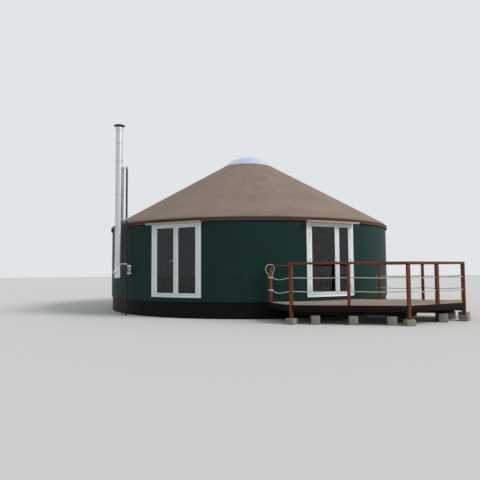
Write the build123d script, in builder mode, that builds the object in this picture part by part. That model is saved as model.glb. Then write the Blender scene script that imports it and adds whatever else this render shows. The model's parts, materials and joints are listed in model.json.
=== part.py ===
from build123d import *
from math import acos, asin, atan2, cos, degrees, dist, floor, hypot, pi, radians, sin, sqrt, tan
import os

# A modern garden yurt on a timber platform, with two glazed double doors,
# a twin-wall flue on its own mast and a raised timber deck at the right door.
# Millimetres, +Z up. The origin is on the ground under the crown. The front,
# halfway between the doors, faces -Y.

os.makedirs("parts", exist_ok=True)

# Fits and running clearances
seam = 0.4
seat = 0.3
running_gap = 6.0
pin_gap = 0.6
knuckle_gap = 1.0

# Round wall and platform
wall_radius = 4950.0
cover_thickness = 24.0
lattice_thickness = 24.0
lattice_rows = 5
lattice_columns = 5
lattice_panel_angle = 31.4
lattice_end_gap = 4.0
lath_width = 34.0
lattice_hole_trim = 1.35
cutter_share = 0.06
floor_level = 575.0
floor_thickness = 40.0
joist_depth = 100.0
joist_width = 50.0
joist_pitch = 610.0
bearer_depth = 200.0
bearer_width = 100.0
bearer_pitch = 1500.0
pad_size = 450.0
skirt_thickness = 30.0
skirt_ground_gap = 12.0
cover_lap = 118.0
cover_side_gap = 1.0
cover_top_gap = 17.0

# Doors
door_half_angle = 27.0
door_width = 1670.0
door_height = 2090.0
frame_depth = 78.0
frame_gap = 3.0
jamb_face = 105.0
head_face = 52.0
sill_face = 58.0
stop_lip = 16.0
stile = 66.0
rail = 42.0
leaf_thickness = 56.0
meeting_gap = 11.0
right_leaf_share = 0.665
glass_thickness = 24.0
hinge_radius = 9.0
hinge_pin_radius = 4.0
hinge_offset = 12.0
hinge_half_height = 45.0
hinge_plate = 45.0
hinge_plate_thickness = 5.0
hinge_inset = 240.0
handle_height = 1030.0
lever_length = 120.0
lever_half = 11.0
lever_thickness = 16.0
lever_stand = 42.0
handle_plate_half_width = 15.0
handle_plate_half_height = 110.0
handle_plate_thickness = 8.0
strip_width = 32.0
strip_stand = 4.0
stud_width = 60.0
stud_depth = 90.0
canopy_width = 1840.0
canopy_taper = 100.0
canopy_front = 195.0
canopy_thickness = 30.0
canopy_lip = 50.0
canopy_lip_thickness = 20.0
canopy_lip_drop = 16.0
canopy_lift = 4.0

over_door_gap = 34.0

# Roof
eave_radius = 4985.0
hem_bottom = 2703.0
hem_thickness = 10.0
cover_fall = 1.0
knee_height = 2720.0
knee_radius = 200.0
roof_pitch = 30.0
roof_thickness = 12.0
roof_inner_radius = 935.0
pole_count = 36
pole_width = 45.0
pole_depth = 70.0
plate_height = 45.0
plate_top = 2815.0
plate_width = 75.0
crown_radius = 985.0
crown_width = 90.0
crown_depth = 150.0
crown_bar = 45.0
dome_radius = 910.0
dome_rise = 395.0
dome_thickness = 8.0
dome_rim_width = 50.0
dome_rim_stand = 15.0

# Flue and mast
flue_x = -4062.0
flue_y = -3420.0
flue_radius = 105.0
flue_wall = 25.0
flue_bottom = 1118.0
tee_top = 1600.0
flue_top = 5745.0
foot_cap_height = 60.0
band_radius = 111.0
band_height = 42.0
band_places = (1600.0, 2630.0, 3660.0, 4690.0, 5245.0, 5650.0)
branch_radius = 88.0
branch_height = 1370.0
soot_door_radius = 62.0
soot_door_reach = 135.0
soot_door_height = 1295.0
wall_plate_size = 280.0
wall_plate_thickness = 4.0
cowl_radius = 172.0
cowl_collar = 14.0
cowl_gap = 28.0
cowl_edge = 14.0
cowl_rise = 26.0
cowl_crown = 70.0
cowl_strut = 16.0
mast_radius = 28.0
stay_radius = 15.0
mast_top = 4510.0
mast_in = 160.0
mast_along = 205.0
stay_in = 74.0
stay_along = 135.0
bracket_heights = (1541.0, 2890.0, 4465.0)
bracket_height = 40.0
clasp_thickness = 8.0
clasp_arm = 14.0

# Deck beside the right door
deck_level = 470.0
board_thickness = 28.0
deck_edge = 22.0
fascia_thickness = 26.0
fascia_depth = 156.0
deck_joist_depth = 120.0
deck_joist_width = 47.0
deck_joist_pitch = 450.0
deck_bearer_width = 75.0
bearer_setback = 60.0
deck_reach = 3000.0
edge_run_in = 560.0
post_size = 75.0
rail_height = 1050.0
rail_thickness = 57.0
rail_width = 92.0
rail_overhang = 120.0
rail_start_overhang = 30.0
wall_end_overhang = 48.0
side_rail_thickness = 32.0
side_rail_width = 70.0
block_height = 215.0
block_length = 440.0
block_width = 215.0
deck_bearer_rows = (-700.0, 150.0, 1000.0)
block_places = ((-2350.0, -1450.0, -550.0), (-2400.0, -1200.0, 0.0, 800.0), (-1450.0, -100.0, 1200.0))
foot_size = 220.0
foot_height = 150.0
rope_radius = 12.0
rope_hole_radius = 17.0
rope_heights = (332.0, 668.0)
rope_mouth = 85.0
rope_lift = 4.0
arc_share = 0.45
rear_middle_share = 0.47
upper_sags = (22.0, 22.0, 18.0, 14.0, 16.0, 12.0, 12.0)
lower_sags = (26.0, 24.0, 18.0, 16.0, 18.0, 14.0, 12.0)
left_runs = (450.0, 800.0)
upper_drops = (46.0, 66.0)
lower_drops = (56.0, 80.0)
wrap_thickness = 26.0
wrap_height = 60.0
wrap_drop = 12.0
wrap_straight = 70.0
stopper_radius = 28.0
stopper_length = 46.0

# Spare end of the upper rope, thrown over the head of the post at the wall.
# Along the rail, across it, and up from the rope's height.
tail_route = (
    (0.0, -50.5, 18.3),
    (0.0, -50.5, 62.0),
    (-6.0, -104.0, 112.0),
    (-10.0, -140.0, 178.0),
    (-10.0, -140.0, 246.0),
    (-6.0, -112.0, 306.0),
    (-2.0, -58.0, 340.5),
    (2.0, 52.0, 341.5),
    (6.0, 98.0, 312.0),
    (9.0, 110.0, 256.0),
    (8.0, 100.0, 190.0),
    (5.0, 74.0, 120.0),
    (0.0, 50.5, 62.0),
    (0.0, 50.5, 18.3),
)

# Centres of the deck's posts in plan, from the wall round the deck to its open side
wall_end_post = (427.0, -5065.0)
left_post = (850.0, -6150.0)
chamfer_post = (3580.0, -6650.0)
right_post = (5360.0, -5680.0)
rear_post = (5800.0, -4750.0)
last_post = (3643.0, -4155.0)
deck_wall_end = (3060.0, -3990.0)

cover_inner = wall_radius - cover_thickness
lattice_outer = cover_inner - seam
lattice_inner = lattice_outer - lattice_thickness
floor_radius = cover_inner - seam
frame_face = sqrt(wall_radius**2 - (door_width / 2) ** 2)
door_head = floor_level + door_height
strip_outer = door_width / 2 + frame_gap + strip_width
cover_edge_angle = degrees(asin((strip_outer + cover_side_gap) / cover_inner))
stud_outer = door_width / 2 + frame_gap + stud_width
stud_front = frame_face - sqrt((cover_inner - seam) ** 2 - stud_outer**2) + seam
stud_edge_angle = degrees(asin((stud_outer + lattice_end_gap) / lattice_inner))
cover_bottom = floor_level - cover_lap
cover_top = plate_top - cover_top_gap
lattice_top = plate_top - plate_height


def keep(piece, name):
    """Label a finished sub-part and write it."""
    piece.label = name
    export_step(piece, f"parts/{name}.step")


def sector(inner, outer, bottom, top, start, end):
    """One ring sector between two angles, measured from +X."""
    with BuildPart() as piece:
        with BuildSketch(Plane.XZ) as section:
            with Locations(((inner + outer) / 2, (bottom + top) / 2)):
                Rectangle(outer - inner, top - bottom)
        revolve(axis=Axis.Z, revolution_arc=end - start)
    solid = piece.part
    return Rot(0, 0, start + turn_offset(solid, end - start)) * solid


def turn_offset(solid, arc):
    """Angle that brings a part revolved from the XZ plane to start at +X."""
    return 0.0 if solid.center().Y > 0 else arc


def ring_sectors(inner, outer, bottom, top, start, end, count):
    """Equal ring sectors with a seam between neighbours."""
    step = (end - start) / count
    half_seam = degrees(seam / 2 / inner)
    return [
        sector(inner, outer, bottom, top, start + i * step + half_seam, start + (i + 1) * step - half_seam)
        for i in range(count)
    ]


def keep_together(name, pieces):
    """Write like pieces as the separate solids of one sub-part."""
    with BuildPart() as node:
        add(pieces)
    keep(node.part, name)


# Platform: pads, bearers, joists, floor and skirt
pad_height = floor_level - floor_thickness - joist_depth - bearer_depth
bearer_bottom = pad_height
joist_bottom = bearer_bottom + bearer_depth
floor_bottom = floor_level - floor_thickness
skirt_outer = floor_radius
skirt_inner = skirt_outer - skirt_thickness
frame_radius = skirt_inner - seam


def half_chord(offset, radius, width):
    """Half the length of a beam of this width that fits in the circle."""
    return sqrt(radius**2 - (abs(offset) + width / 2) ** 2)


bearer_rows = [i * bearer_pitch for i in range(-3, 4)]
pad_shares = (-0.86, -0.43, 0.0, 0.43, 0.86)
short_row = 2.5 * bearer_pitch

with BuildPart() as base_pads:
    for y in bearer_rows:
        reach = half_chord(y, frame_radius, pad_size)
        for share in pad_shares:
            if abs(y) > short_row and abs(share) == max(pad_shares):
                continue
            with Locations((share * reach, y, pad_height / 2)):
                Box(pad_size, pad_size, pad_height)
keep(base_pads.part, "base_pads")

with BuildPart() as floor_bearers:
    for y in bearer_rows:
        length = 2 * half_chord(y, frame_radius, bearer_width)
        with Locations((0, y, bearer_bottom + bearer_depth / 2)):
            Box(length, bearer_width, bearer_depth)
keep(floor_bearers.part, "floor_bearers")

joist_rows = int(floor((frame_radius - joist_width) / joist_pitch))
with BuildPart() as floor_joists:
    for i in range(-joist_rows, joist_rows + 1):
        x = i * joist_pitch
        length = 2 * half_chord(x, frame_radius, joist_width)
        with Locations((x, 0, joist_bottom + joist_depth / 2)):
            Box(joist_width, length, joist_depth)
keep(floor_joists.part, "floor_joists")

with BuildPart() as floor_deck:
    with Locations((0, 0, floor_bottom + floor_thickness / 2)):
        Cylinder(floor_radius, floor_thickness)
keep(floor_deck.part, "floor_deck")

keep_together(
    "base_skirt",
    ring_sectors(skirt_inner, skirt_outer, skirt_ground_gap, floor_bottom - seam, 0, 360, 20),
)

# Wall cover: stretches between and behind the doors, and a strip over and under each door
front = -90.0
right_door = front + door_half_angle
left_door = front - door_half_angle

cover_start = right_door + cover_edge_angle
cover_end = left_door - cover_edge_angle + 360
cover_slit = degrees(seam / wall_radius)
strip_bottom = door_head + canopy_lift + canopy_thickness + over_door_gap
covers_over_doors = [
    sector(
        cover_inner, wall_radius, strip_bottom, cover_top,
        door - cover_edge_angle + cover_slit, door + cover_edge_angle - cover_slit,
    )
    for door in (left_door, right_door)
]
covers_under_doors = [
    sector(
        cover_inner, wall_radius, cover_bottom, floor_level - seam,
        door - cover_edge_angle + cover_slit, door + cover_edge_angle - cover_slit,
    )
    for door in (left_door, right_door)
]
covers_between = ring_sectors(
    cover_inner, wall_radius, cover_bottom, cover_top,
    left_door + cover_edge_angle, right_door - cover_edge_angle, 2,
)
keep_together("wall_cover_front", covers_between + covers_over_doors + covers_under_doors)
keep_together(
    "wall_cover_sides",
    ring_sectors(cover_inner, wall_radius, cover_bottom, cover_top, cover_start, cover_end, 18),
)

# Lattice: one curved panel of crossing laths, cut from a shell, and turned copies of it
panel_height = lattice_top - floor_level - seat
cell_height = (panel_height - lath_width) / lattice_rows
panel_arc = radians(lattice_panel_angle)
cell_angle = lattice_panel_angle / lattice_columns
cell_width = 2 * lattice_outer * tan(radians(cell_angle / 2))
hole_width = cell_width - lath_width * lattice_hole_trim
hole_height = cell_height - lath_width * lattice_hole_trim
lattice_bottom = floor_level + seat / 2


def lattice_hole(angle, height):
    """Diamond opening between four laths, cut square to the wall at its own angle."""
    near = lattice_inner * (1 - cutter_share / 3)
    plane = Plane(
        origin=(near * cos(radians(angle)), near * sin(radians(angle)), height),
        x_dir=(-sin(radians(angle)), cos(radians(angle)), 0),
        z_dir=(cos(radians(angle)), sin(radians(angle)), 0),
    )
    with BuildPart() as hole:
        with BuildSketch(plane):
            with BuildLine():
                Polyline(
                    (-hole_width / 2, 0), (0, -hole_height / 2), (hole_width / 2, 0), (0, hole_height / 2),
                    close=True,
                )
            make_face()
        extrude(amount=lattice_inner * cutter_share)
    return hole.part


lattice_blank = sector(
    lattice_inner, lattice_outer, lattice_bottom, lattice_bottom + panel_height, 0, lattice_panel_angle
)
lattice_cutters = []
for row in range(2 * lattice_rows + 1):
    height = lattice_bottom + lath_width / 2 + row * cell_height / 2
    if row % 2 == 0:
        places = [cell_angle * (i + 0.5) for i in range(lattice_columns)]
    else:
        places = [cell_angle * i for i in range(lattice_columns + 1)]
    lattice_cutters += [lattice_hole(angle, height) for angle in places]

with BuildPart() as lattice_panel:
    add(lattice_blank)
    add(lattice_cutters, mode=Mode.SUBTRACT)


def lattice_node(name, starts):
    keep_together(name, [Rot(0, 0, start) * lattice_panel.part for start in starts])


lattice_start = right_door + stud_edge_angle
lattice_step = (left_door - stud_edge_angle + 360 - lattice_start) / 9
lattice_slack = (lattice_step - lattice_panel_angle) / 2
lattice_starts = [lattice_start + lattice_slack + i * lattice_step for i in range(9)]
lattice_node("wall_lattice_front", [front - lattice_panel_angle / 2])
lattice_node("wall_lattice_right", lattice_starts[0:3])
lattice_node("wall_lattice_back", lattice_starts[3:6])
lattice_node("wall_lattice_left", lattice_starts[6:9])

# Roof: wall plate, poles, crown ring, cover, hem, dome
plate_outer = lattice_outer
plate_inner = plate_outer - plate_width
keep_together("wall_plate", ring_sectors(plate_inner, plate_outer, lattice_top, plate_top, 0, 360, 24))

pitch = radians(roof_pitch)
knee_centre = eave_radius - knee_radius


def roof_height(radius):
    """Height of the cover's outer face on the straight part of the roof."""
    return knee_height + knee_radius * cos(pitch) + (knee_centre + knee_radius * sin(pitch) - radius) * tan(pitch)


cover_drop = roof_thickness / cos(pitch)
pole_drop = pole_depth / cos(pitch)
pole_tail = knee_centre + knee_radius * sin(pitch)
pole_head = crown_radius + seat


def pole_top(radius):
    return roof_height(radius) - cover_drop - 2 * seat


with BuildPart() as pole:
    with BuildSketch(Plane.XZ):
        with BuildLine():
            Polyline(
                (pole_head, pole_top(pole_head)),
                (pole_tail, pole_top(pole_tail)),
                (pole_tail, plate_top + seat),
                (plate_inner - seat, plate_top + seat),
                (plate_inner - seat, pole_top(plate_inner - seat) - pole_drop),
                (pole_head, pole_top(pole_head) - pole_drop),
                close=True,
            )
        make_face()
    extrude(amount=pole_width / 2, both=True)

with BuildPart() as roof_poles:
    with PolarLocations(0, pole_count, start_angle=180 / pole_count):
        add(pole.part)
keep(roof_poles.part, "roof_poles")

crown_top = roof_height(crown_radius) - cover_drop - 4 * seat
crown_bottom = crown_top - crown_depth
crown_inner = crown_radius - crown_width
bar_length = 2 * (sqrt(crown_inner**2 - (crown_bar / 2) ** 2) - seat)
with BuildPart() as crown_bars:
    with Locations((0, 0, crown_bottom + crown_bar)):
        Box(bar_length, crown_bar, crown_bar)
    with Locations((0, 0, crown_bottom + 2 * crown_bar + seam)):
        Box(crown_bar, bar_length, crown_bar)
keep_together(
    "crown",
    ring_sectors(crown_inner, crown_radius, crown_bottom, crown_top, 0, 360, 8) + crown_bars.part.solids(),
)


def roof_gore(arc):
    """One sector of the roof cover: straight slope, rounded knee and short fall."""
    outer_corner = roof_height(eave_radius)
    inner_eave = eave_radius - roof_thickness
    with BuildPart() as gore:
        with BuildSketch(Plane.XZ):
            with BuildLine():
                outer = FilletPolyline(
                    (roof_inner_radius, roof_height(roof_inner_radius)),
                    (eave_radius, outer_corner),
                    (eave_radius, knee_height - cover_fall),
                    radius=knee_radius,
                )
                inner = FilletPolyline(
                    (roof_inner_radius, roof_height(roof_inner_radius) - cover_drop),
                    (inner_eave, roof_height(inner_eave) - cover_drop),
                    (inner_eave, knee_height - cover_fall),
                    radius=knee_radius - roof_thickness,
                )
                Line(outer @ 0, inner @ 0)
                Line(outer @ 1, inner @ 1)
            make_face()
        revolve(axis=Axis.Z, revolution_arc=arc)
    solid = gore.part
    return Rot(0, 0, turn_offset(solid, arc)) * solid


gore_angle = 15.0
gore_gap = degrees(seam / roof_inner_radius)
gore = roof_gore(gore_angle - gore_gap)
for name, start in (("roof_cover_front", -180), ("roof_cover_back", 0)):
    keep_together(name, [Rot(0, 0, start + k * gore_angle + gore_gap / 2) * gore for k in range(12)])

keep_together(
    "roof_hem",
    ring_sectors(eave_radius - hem_thickness, eave_radius, hem_bottom, knee_height - cover_fall - seam, 0, 360, 24),
)

rim_top = roof_height(roof_inner_radius) + dome_rim_stand
rim_outer = roof_inner_radius - seam
with BuildPart() as dome_rim:
    with BuildSketch(Plane.XZ):
        with BuildLine():
            Polyline(
                (rim_outer, crown_top + seat),
                (rim_outer, rim_top),
                (rim_outer - dome_rim_width, rim_top),
                (rim_outer - dome_rim_width, crown_top + seat),
                close=True,
            )
        make_face()
    revolve(axis=Axis.Z)
keep(dome_rim.part, "dome_rim")

dome_base = rim_top + seat
dome_sphere = (dome_radius**2 + dome_rise**2) / (2 * dome_rise)
with BuildPart() as dome:
    with BuildSketch(Plane.XZ):
        with BuildLine():
            half = degrees(asin(dome_radius / dome_sphere))
            top_arc = CenterArc((0, dome_base + dome_rise - dome_sphere), dome_sphere, 90 - half, half)
            inner_half = degrees(acos((dome_sphere - dome_rise) / (dome_sphere - dome_thickness)))
            low_arc = CenterArc(
                (0, dome_base + dome_rise - dome_sphere), dome_sphere - dome_thickness, 90 - inner_half, inner_half
            )
            Line(top_arc @ 1, low_arc @ 1)
            Line(top_arc @ 0, low_arc @ 0)
        make_face()
    revolve(axis=Axis.Z)
keep(dome.part, "dome")


# Doors. In a door's own plane X runs along it, seen from outside, Y inwards, Z up.
def door_plane(angle):
    return Plane(
        origin=(frame_face * cos(radians(angle)), frame_face * sin(radians(angle)), 0),
        x_dir=(-sin(radians(angle)), cos(radians(angle)), 0),
        z_dir=(0, 0, 1),
    )


def block(x0, x1, y0, y1, z0, z1, mode=Mode.ADD):
    """A box between two corners, in the plane of the block around it."""
    with Locations(((x0 + x1) / 2, (y0 + y1) / 2, (z0 + z1) / 2)):
        Box(x1 - x0, y1 - y0, z1 - z0, mode=mode)


leaf_bottom = floor_level + sill_face + running_gap
leaf_top = door_head - head_face - running_gap
opening_left = -door_width / 2 + jamb_face
opening_right = door_width / 2 - jamb_face
hinge_places = (leaf_bottom + hinge_inset, (leaf_bottom + leaf_top) / 2, leaf_top - hinge_inset)
leaf_zone = opening_right - opening_left - 2 * running_gap
spindle_length = lever_stand + lever_thickness / 4
spindle_middle = handle_plate_thickness + spindle_length / 2


def hinge_axis(side):
    """X of a leaf's hinge axis: the middle of the gap beside the jamb."""
    return opening_left + running_gap / 2 if side < 0 else opening_right - running_gap / 2


def door_frame(plane):
    """Outer frame: two jambs, head and sill, each with its stop lip, and the fixed hinge halves."""
    half = door_width / 2
    back = leaf_thickness + running_gap
    with BuildPart(plane) as frame:
        for side in (-1, 1):
            inner = side * (half - jamb_face)
            lip = side * (half - jamb_face - stop_lip)
            block(min(side * half, inner), max(side * half, inner), 0, frame_depth, floor_level + sill_face + seam,
                  door_head - head_face - seam)
            block(min(inner, lip), max(inner, lip), back, frame_depth, floor_level + sill_face + stop_lip + seam,
                  door_head - head_face - stop_lip - seam)
            axis = hinge_axis(side)
            for z in hinge_places:
                plate = side * hinge_plate
                block(min(axis, axis + plate), max(axis, axis + plate), -hinge_plate_thickness, 0,
                      z - hinge_half_height, z)
                with Locations((axis, -hinge_offset, z - hinge_half_height / 2)):
                    Cylinder(hinge_radius, hinge_half_height)
                with Locations((axis, -hinge_offset, z + hinge_half_height / 2)):
                    Cylinder(hinge_pin_radius, hinge_half_height)
        block(-half, half, 0, frame_depth, door_head - head_face, door_head)
        block(-half + jamb_face + seam, half - jamb_face - seam, back, frame_depth,
              door_head - head_face - stop_lip, door_head - head_face)
        block(-half, half, 0, frame_depth, floor_level, floor_level + sill_face)
        block(-half + jamb_face + seam, half - jamb_face - seam, back, frame_depth,
              floor_level + sill_face, floor_level + sill_face + stop_lip)
    return frame.part


def door_leaf(name, plane, x0, x1, side, levers):
    """One leaf: two stiles, two rails, its moving hinge halves and its glass."""
    axis = hinge_axis(side)
    with BuildPart(plane) as sash:
        block(x0, x0 + stile, 0, leaf_thickness, leaf_bottom, leaf_top)
        block(x1 - stile, x1, 0, leaf_thickness, leaf_bottom, leaf_top)
        block(x0 + stile + seam, x1 - stile - seam, 0, leaf_thickness, leaf_bottom, leaf_bottom + rail)
        block(x0 + stile + seam, x1 - stile - seam, 0, leaf_thickness, leaf_top - rail, leaf_top)
        for z in hinge_places:
            low = z + knuckle_gap
            plate = axis - side * hinge_plate
            block(min(axis, plate), max(axis, plate), -hinge_plate_thickness, 0, low, z + hinge_half_height)
            with Locations((axis, -hinge_offset, (low + z + hinge_half_height) / 2)):
                Cylinder(hinge_radius, hinge_half_height - knuckle_gap)
            with Locations((axis, -hinge_offset, z + hinge_half_height / 2)):
                Cylinder(hinge_pin_radius + pin_gap, hinge_half_height + 2 * pin_gap, mode=Mode.SUBTRACT)
    keep(sash.part, f"{name}_sash")

    with BuildPart(plane) as glass:
        centre = leaf_thickness / 2
        block(x0 + stile + seam, x1 - stile - seam, centre - glass_thickness / 2, centre + glass_thickness / 2,
              leaf_bottom + rail + seam, leaf_top - rail - seam)
    keep(glass.part, f"{name}_glass")

    if not levers:
        return
    spindle = x0 + stile / 2 if side > 0 else x1 - stile / 2
    z = floor_level + handle_height
    with BuildPart(plane) as handle:
        for face, out in ((0, -1), (leaf_thickness, 1)):
            plate = face + out * handle_plate_thickness
            block(spindle - handle_plate_half_width, spindle + handle_plate_half_width, min(face, plate),
                  max(face, plate), z - handle_plate_half_height, z + handle_plate_half_height)
            with Locations(Location((spindle, face + out * spindle_middle, z), (90, 0, 0))):
                Cylinder(lever_half, spindle_length)
            tip = spindle + side * lever_length
            near, far = face + out * lever_stand, face + out * (lever_stand + lever_thickness)
            block(min(spindle - lever_half, tip), max(spindle + lever_half, tip), min(near, far), max(near, far),
                  z - lever_half, z + lever_half)
    keep(handle.part, f"{name}_handle")


def door_studs(plane):
    """Timber studs and head that carry one frame."""
    with BuildPart(plane) as studs:
        for side in (-1, 1):
            near = side * (door_width / 2 + frame_gap)
            far = side * stud_outer
            block(min(near, far), max(near, far), stud_front, stud_front + stud_depth, floor_level,
                  door_head + frame_gap)
        block(-stud_outer, stud_outer, stud_front, stud_front + stud_depth, door_head + frame_gap + seam,
              lattice_top - seat)
    return studs.part


def door_strips(plane):
    """The dark strip at each side of one frame."""
    with BuildPart(plane) as strips:
        for side in (-1, 1):
            near = side * (door_width / 2 + frame_gap)
            far = side * strip_outer
            block(min(near, far), max(near, far), -strip_stand, stud_front - seam, floor_level,
                  door_head + frame_gap - seat)
    return strips.part


def door_canopy(plane):
    """Shallow drip board over one door, with a deeper front edge."""
    bottom = door_head + canopy_lift
    lip_back = -canopy_front + canopy_lip_thickness
    with BuildPart(plane) as canopy:
        with BuildSketch(Plane(plane.origin + Vector(0, 0, bottom), x_dir=plane.x_dir, z_dir=plane.z_dir)):
            with BuildLine():
                Polyline(
                    (-canopy_width / 2, lip_back), (canopy_width / 2, lip_back),
                    (canopy_width / 2 - canopy_taper, -strip_stand), (-canopy_width / 2 + canopy_taper, -strip_stand),
                    close=True,
                )
            make_face()
        extrude(amount=canopy_thickness)
        block(-strip_outer, strip_outer, -strip_stand, stud_front - seat, bottom, bottom + canopy_thickness)
        block(-canopy_width / 2, canopy_width / 2, -canopy_front, lip_back, bottom - canopy_lip_drop,
              bottom - canopy_lip_drop + canopy_lip)
    return canopy.part


def door_leaves(name, plane, left_share, left_name, right_name):
    """Both leaves of one door; left_share is the left leaf's part of the width between the jambs."""
    left_width = (leaf_zone - meeting_gap) * left_share
    left_edge = opening_left + running_gap
    right_edge = opening_right - running_gap
    door_leaf(f"{name}_{left_name}", plane, left_edge, left_edge + left_width, -1, True)
    door_leaf(f"{name}_{right_name}", plane, left_edge + left_width + meeting_gap, right_edge, 1, False)


door_planes = [door_plane(left_door), door_plane(right_door)]
keep_together("door_frames", [door_frame(plane) for plane in door_planes])
keep_together("door_studs", [door_studs(plane) for plane in door_planes])
keep_together("door_strips", [door_strips(plane) for plane in door_planes])
keep_together("door_canopies", [door_canopy(plane) for plane in door_planes])
door_leaves("left_door", door_planes[0], 0.5, "left", "right")
door_leaves("right_door", door_planes[1], right_leaf_share, "main", "side")

# Flue, cowl, tee and mast. Inward is the way from the flue to the yurt's axis.
flue_distance = hypot(flue_x, flue_y)
flue_plane = Plane(
    origin=(flue_x, flue_y, 0),
    x_dir=(-flue_x / flue_distance, -flue_y / flue_distance, 0),
    z_dir=(0, 0, 1),
)
wall_reach = flue_distance - wall_radius
branch_reach = wall_reach - seam - wall_plate_thickness - seat

with BuildPart(flue_plane) as flue_pipe:
    with Locations((0, 0, (tee_top + flue_top) / 2)):
        Cylinder(flue_radius, flue_top - tee_top)
        Cylinder(flue_radius - flue_wall, flue_top - tee_top, mode=Mode.SUBTRACT)
keep(flue_pipe.part, "flue_pipe")

with BuildPart(flue_plane) as flue_bands:
    for z in band_places:
        with Locations((0, 0, z)):
            Cylinder(band_radius, band_height)
            Cylinder(flue_radius + seat, band_height, mode=Mode.SUBTRACT)

with BuildPart(flue_plane) as flue_tee:
    with Locations((0, 0, (flue_bottom + tee_top - seat) / 2)):
        Cylinder(flue_radius, tee_top - seat - flue_bottom)
    with Locations((0, 0, flue_bottom + foot_cap_height / 2)):
        Cylinder(band_radius, foot_cap_height)
    with Locations(Location((branch_reach / 2, 0, branch_height), (0, 90, 0))):
        Cylinder(branch_radius, branch_reach)
    with Locations(Location((-soot_door_reach / 2, 0, soot_door_height), (0, 90, 0))):
        Cylinder(soot_door_radius, soot_door_reach)
keep(flue_tee.part, "flue_tee")

with BuildPart(flue_plane) as flue_wall_plate:
    with Locations((wall_reach - seam - wall_plate_thickness / 2, 0, branch_height)):
        Box(wall_plate_thickness, wall_plate_size, wall_plate_size)
keep(flue_wall_plate.part, "flue_wall_plate")

cowl_bottom = flue_top + seat
strut_bottom = cowl_bottom + cowl_collar
cap_bottom = strut_bottom + cowl_gap
with BuildPart(flue_plane) as flue_cowl:
    with Locations((0, 0, cowl_bottom + cowl_collar / 2)):
        Cylinder(flue_radius, cowl_collar)
        Cylinder(flue_radius - flue_wall, cowl_collar, mode=Mode.SUBTRACT)
    with PolarLocations(flue_radius - flue_wall / 2, 4):
        with Locations((0, 0, strut_bottom + cowl_gap / 2)):
            Box(cowl_strut, cowl_strut, cowl_gap)
    with Locations((0, 0, cap_bottom + cowl_edge / 2)):
        Cylinder(cowl_radius, cowl_edge)
    with Locations((0, 0, cap_bottom + cowl_edge + cowl_rise / 2)):
        Cone(cowl_radius, cowl_crown, cowl_rise)
keep(flue_cowl.part, "flue_cowl")

mast = (mast_in, -mast_along)
stay = (stay_in, -stay_along)
with BuildPart(flue_plane) as mast_poles:
    with Locations((mast[0], mast[1], mast_top / 2)):
        Cylinder(mast_radius, mast_top)
    with Locations((stay[0], stay[1], mast_top / 2)):
        Cylinder(stay_radius, mast_top)
keep(mast_poles.part, "mast_poles")

with BuildPart(flue_plane) as mast_brackets:
    for z in bracket_heights:
        clasps = ((0, 0, flue_radius), (mast[0], mast[1], mast_radius), (stay[0], stay[1], stay_radius))
        for x, y, radius in clasps:
            with Locations((x, y, z)):
                Cylinder(radius + clasp_thickness, bracket_height)
        for x, y in (mast, stay):
            turn = degrees(atan2(y, x))
            with Locations(Location((x / 2, y / 2, z), (0, 0, turn))):
                Box(hypot(x, y), clasp_arm, bracket_height)
        for x, y, radius in clasps:
            with Locations((x, y, z)):
                Cylinder(radius + seat, bracket_height, mode=Mode.SUBTRACT)
keep_together("flue_clamps", [flue_bands.part, mast_brackets.part])


# Deck. Its edge runs from the wall round to the open side, with the outside on the right hand.
def unit(start, end):
    length = hypot(end[0] - start[0], end[1] - start[1])
    return ((end[0] - start[0]) / length, (end[1] - start[1]) / length)


def middle(start, end):
    return ((start[0] + end[0]) / 2, (start[1] + end[1]) / 2)


def stepped(point, direction, distance):
    return (point[0] + direction[0] * distance, point[1] + direction[1] * distance)


def shifted(points, distance):
    """The line through these points moved sideways to its right, with mitred corners."""
    moved = []
    for i, point in enumerate(points):
        before = unit(points[max(i - 1, 0)], points[max(i, 1)])
        after = unit(points[min(i, len(points) - 2)], points[min(i + 1, len(points) - 1)])
        scale = distance / (1 + before[0] * after[0] + before[1] * after[1])
        moved.append((point[0] + (before[1] + after[1]) * scale, point[1] - (before[0] + after[0]) * scale))
    return moved


def heading(direction):
    return degrees(atan2(direction[1], direction[0]))


def tangent(before, point, after):
    """Direction of the edge at a corner, halfway between its two sides."""
    one, two = unit(before, point), unit(point, after)
    return unit((0, 0), (one[0] + two[0], one[1] + two[1]))


corner_posts = [left_post, chamfer_post, right_post, rear_post]
edge_start = stepped(wall_end_post, unit(left_post, wall_end_post), edge_run_in)
edge_end = stepped(deck_wall_end, unit(rear_post, deck_wall_end), edge_run_in)
edge = [edge_start, *corner_posts, edge_end]
corner_turns = [tangent(edge[i], edge[i + 1], edge[i + 2]) for i in range(len(corner_posts))]
front_middle = middle(left_post, chamfer_post)
chamfer_middle = middle(chamfer_post, right_post)
rear_middle = stepped(rear_post, unit(rear_post, last_post), rear_middle_share * dist(rear_post, last_post))
middle_posts = [
    (front_middle, unit(left_post, chamfer_post)),
    (chamfer_middle, unit(chamfer_post, right_post)),
    (rear_middle, unit(rear_post, last_post)),
    (last_post, unit(rear_post, last_post)),
]
deck_clear = wall_radius + seat


def cut_corner_posts():
    """Cut the corner posts' footprints out of the sketch around it."""
    for post, direction in zip(corner_posts, corner_turns):
        with Locations(post):
            Rectangle(post_size + 2 * seam, post_size + 2 * seam, rotation=heading(direction), mode=Mode.SUBTRACT)


def deck_outline(distance):
    """Plan of the deck out to this distance from its posts' centres, clear of the wall."""
    with BuildSketch() as plan:
        with BuildLine():
            Polyline(*shifted(edge, distance), close=True)
        make_face()
        Circle(deck_clear, mode=Mode.SUBTRACT)
        cut_corner_posts()
    return plan.sketch


with BuildPart() as deck_boards:
    with BuildSketch(Plane.XY.offset(deck_level - board_thickness)):
        add(deck_outline(deck_edge))
    extrude(amount=board_thickness)
keep(deck_boards.part, "deck_boards")

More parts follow.
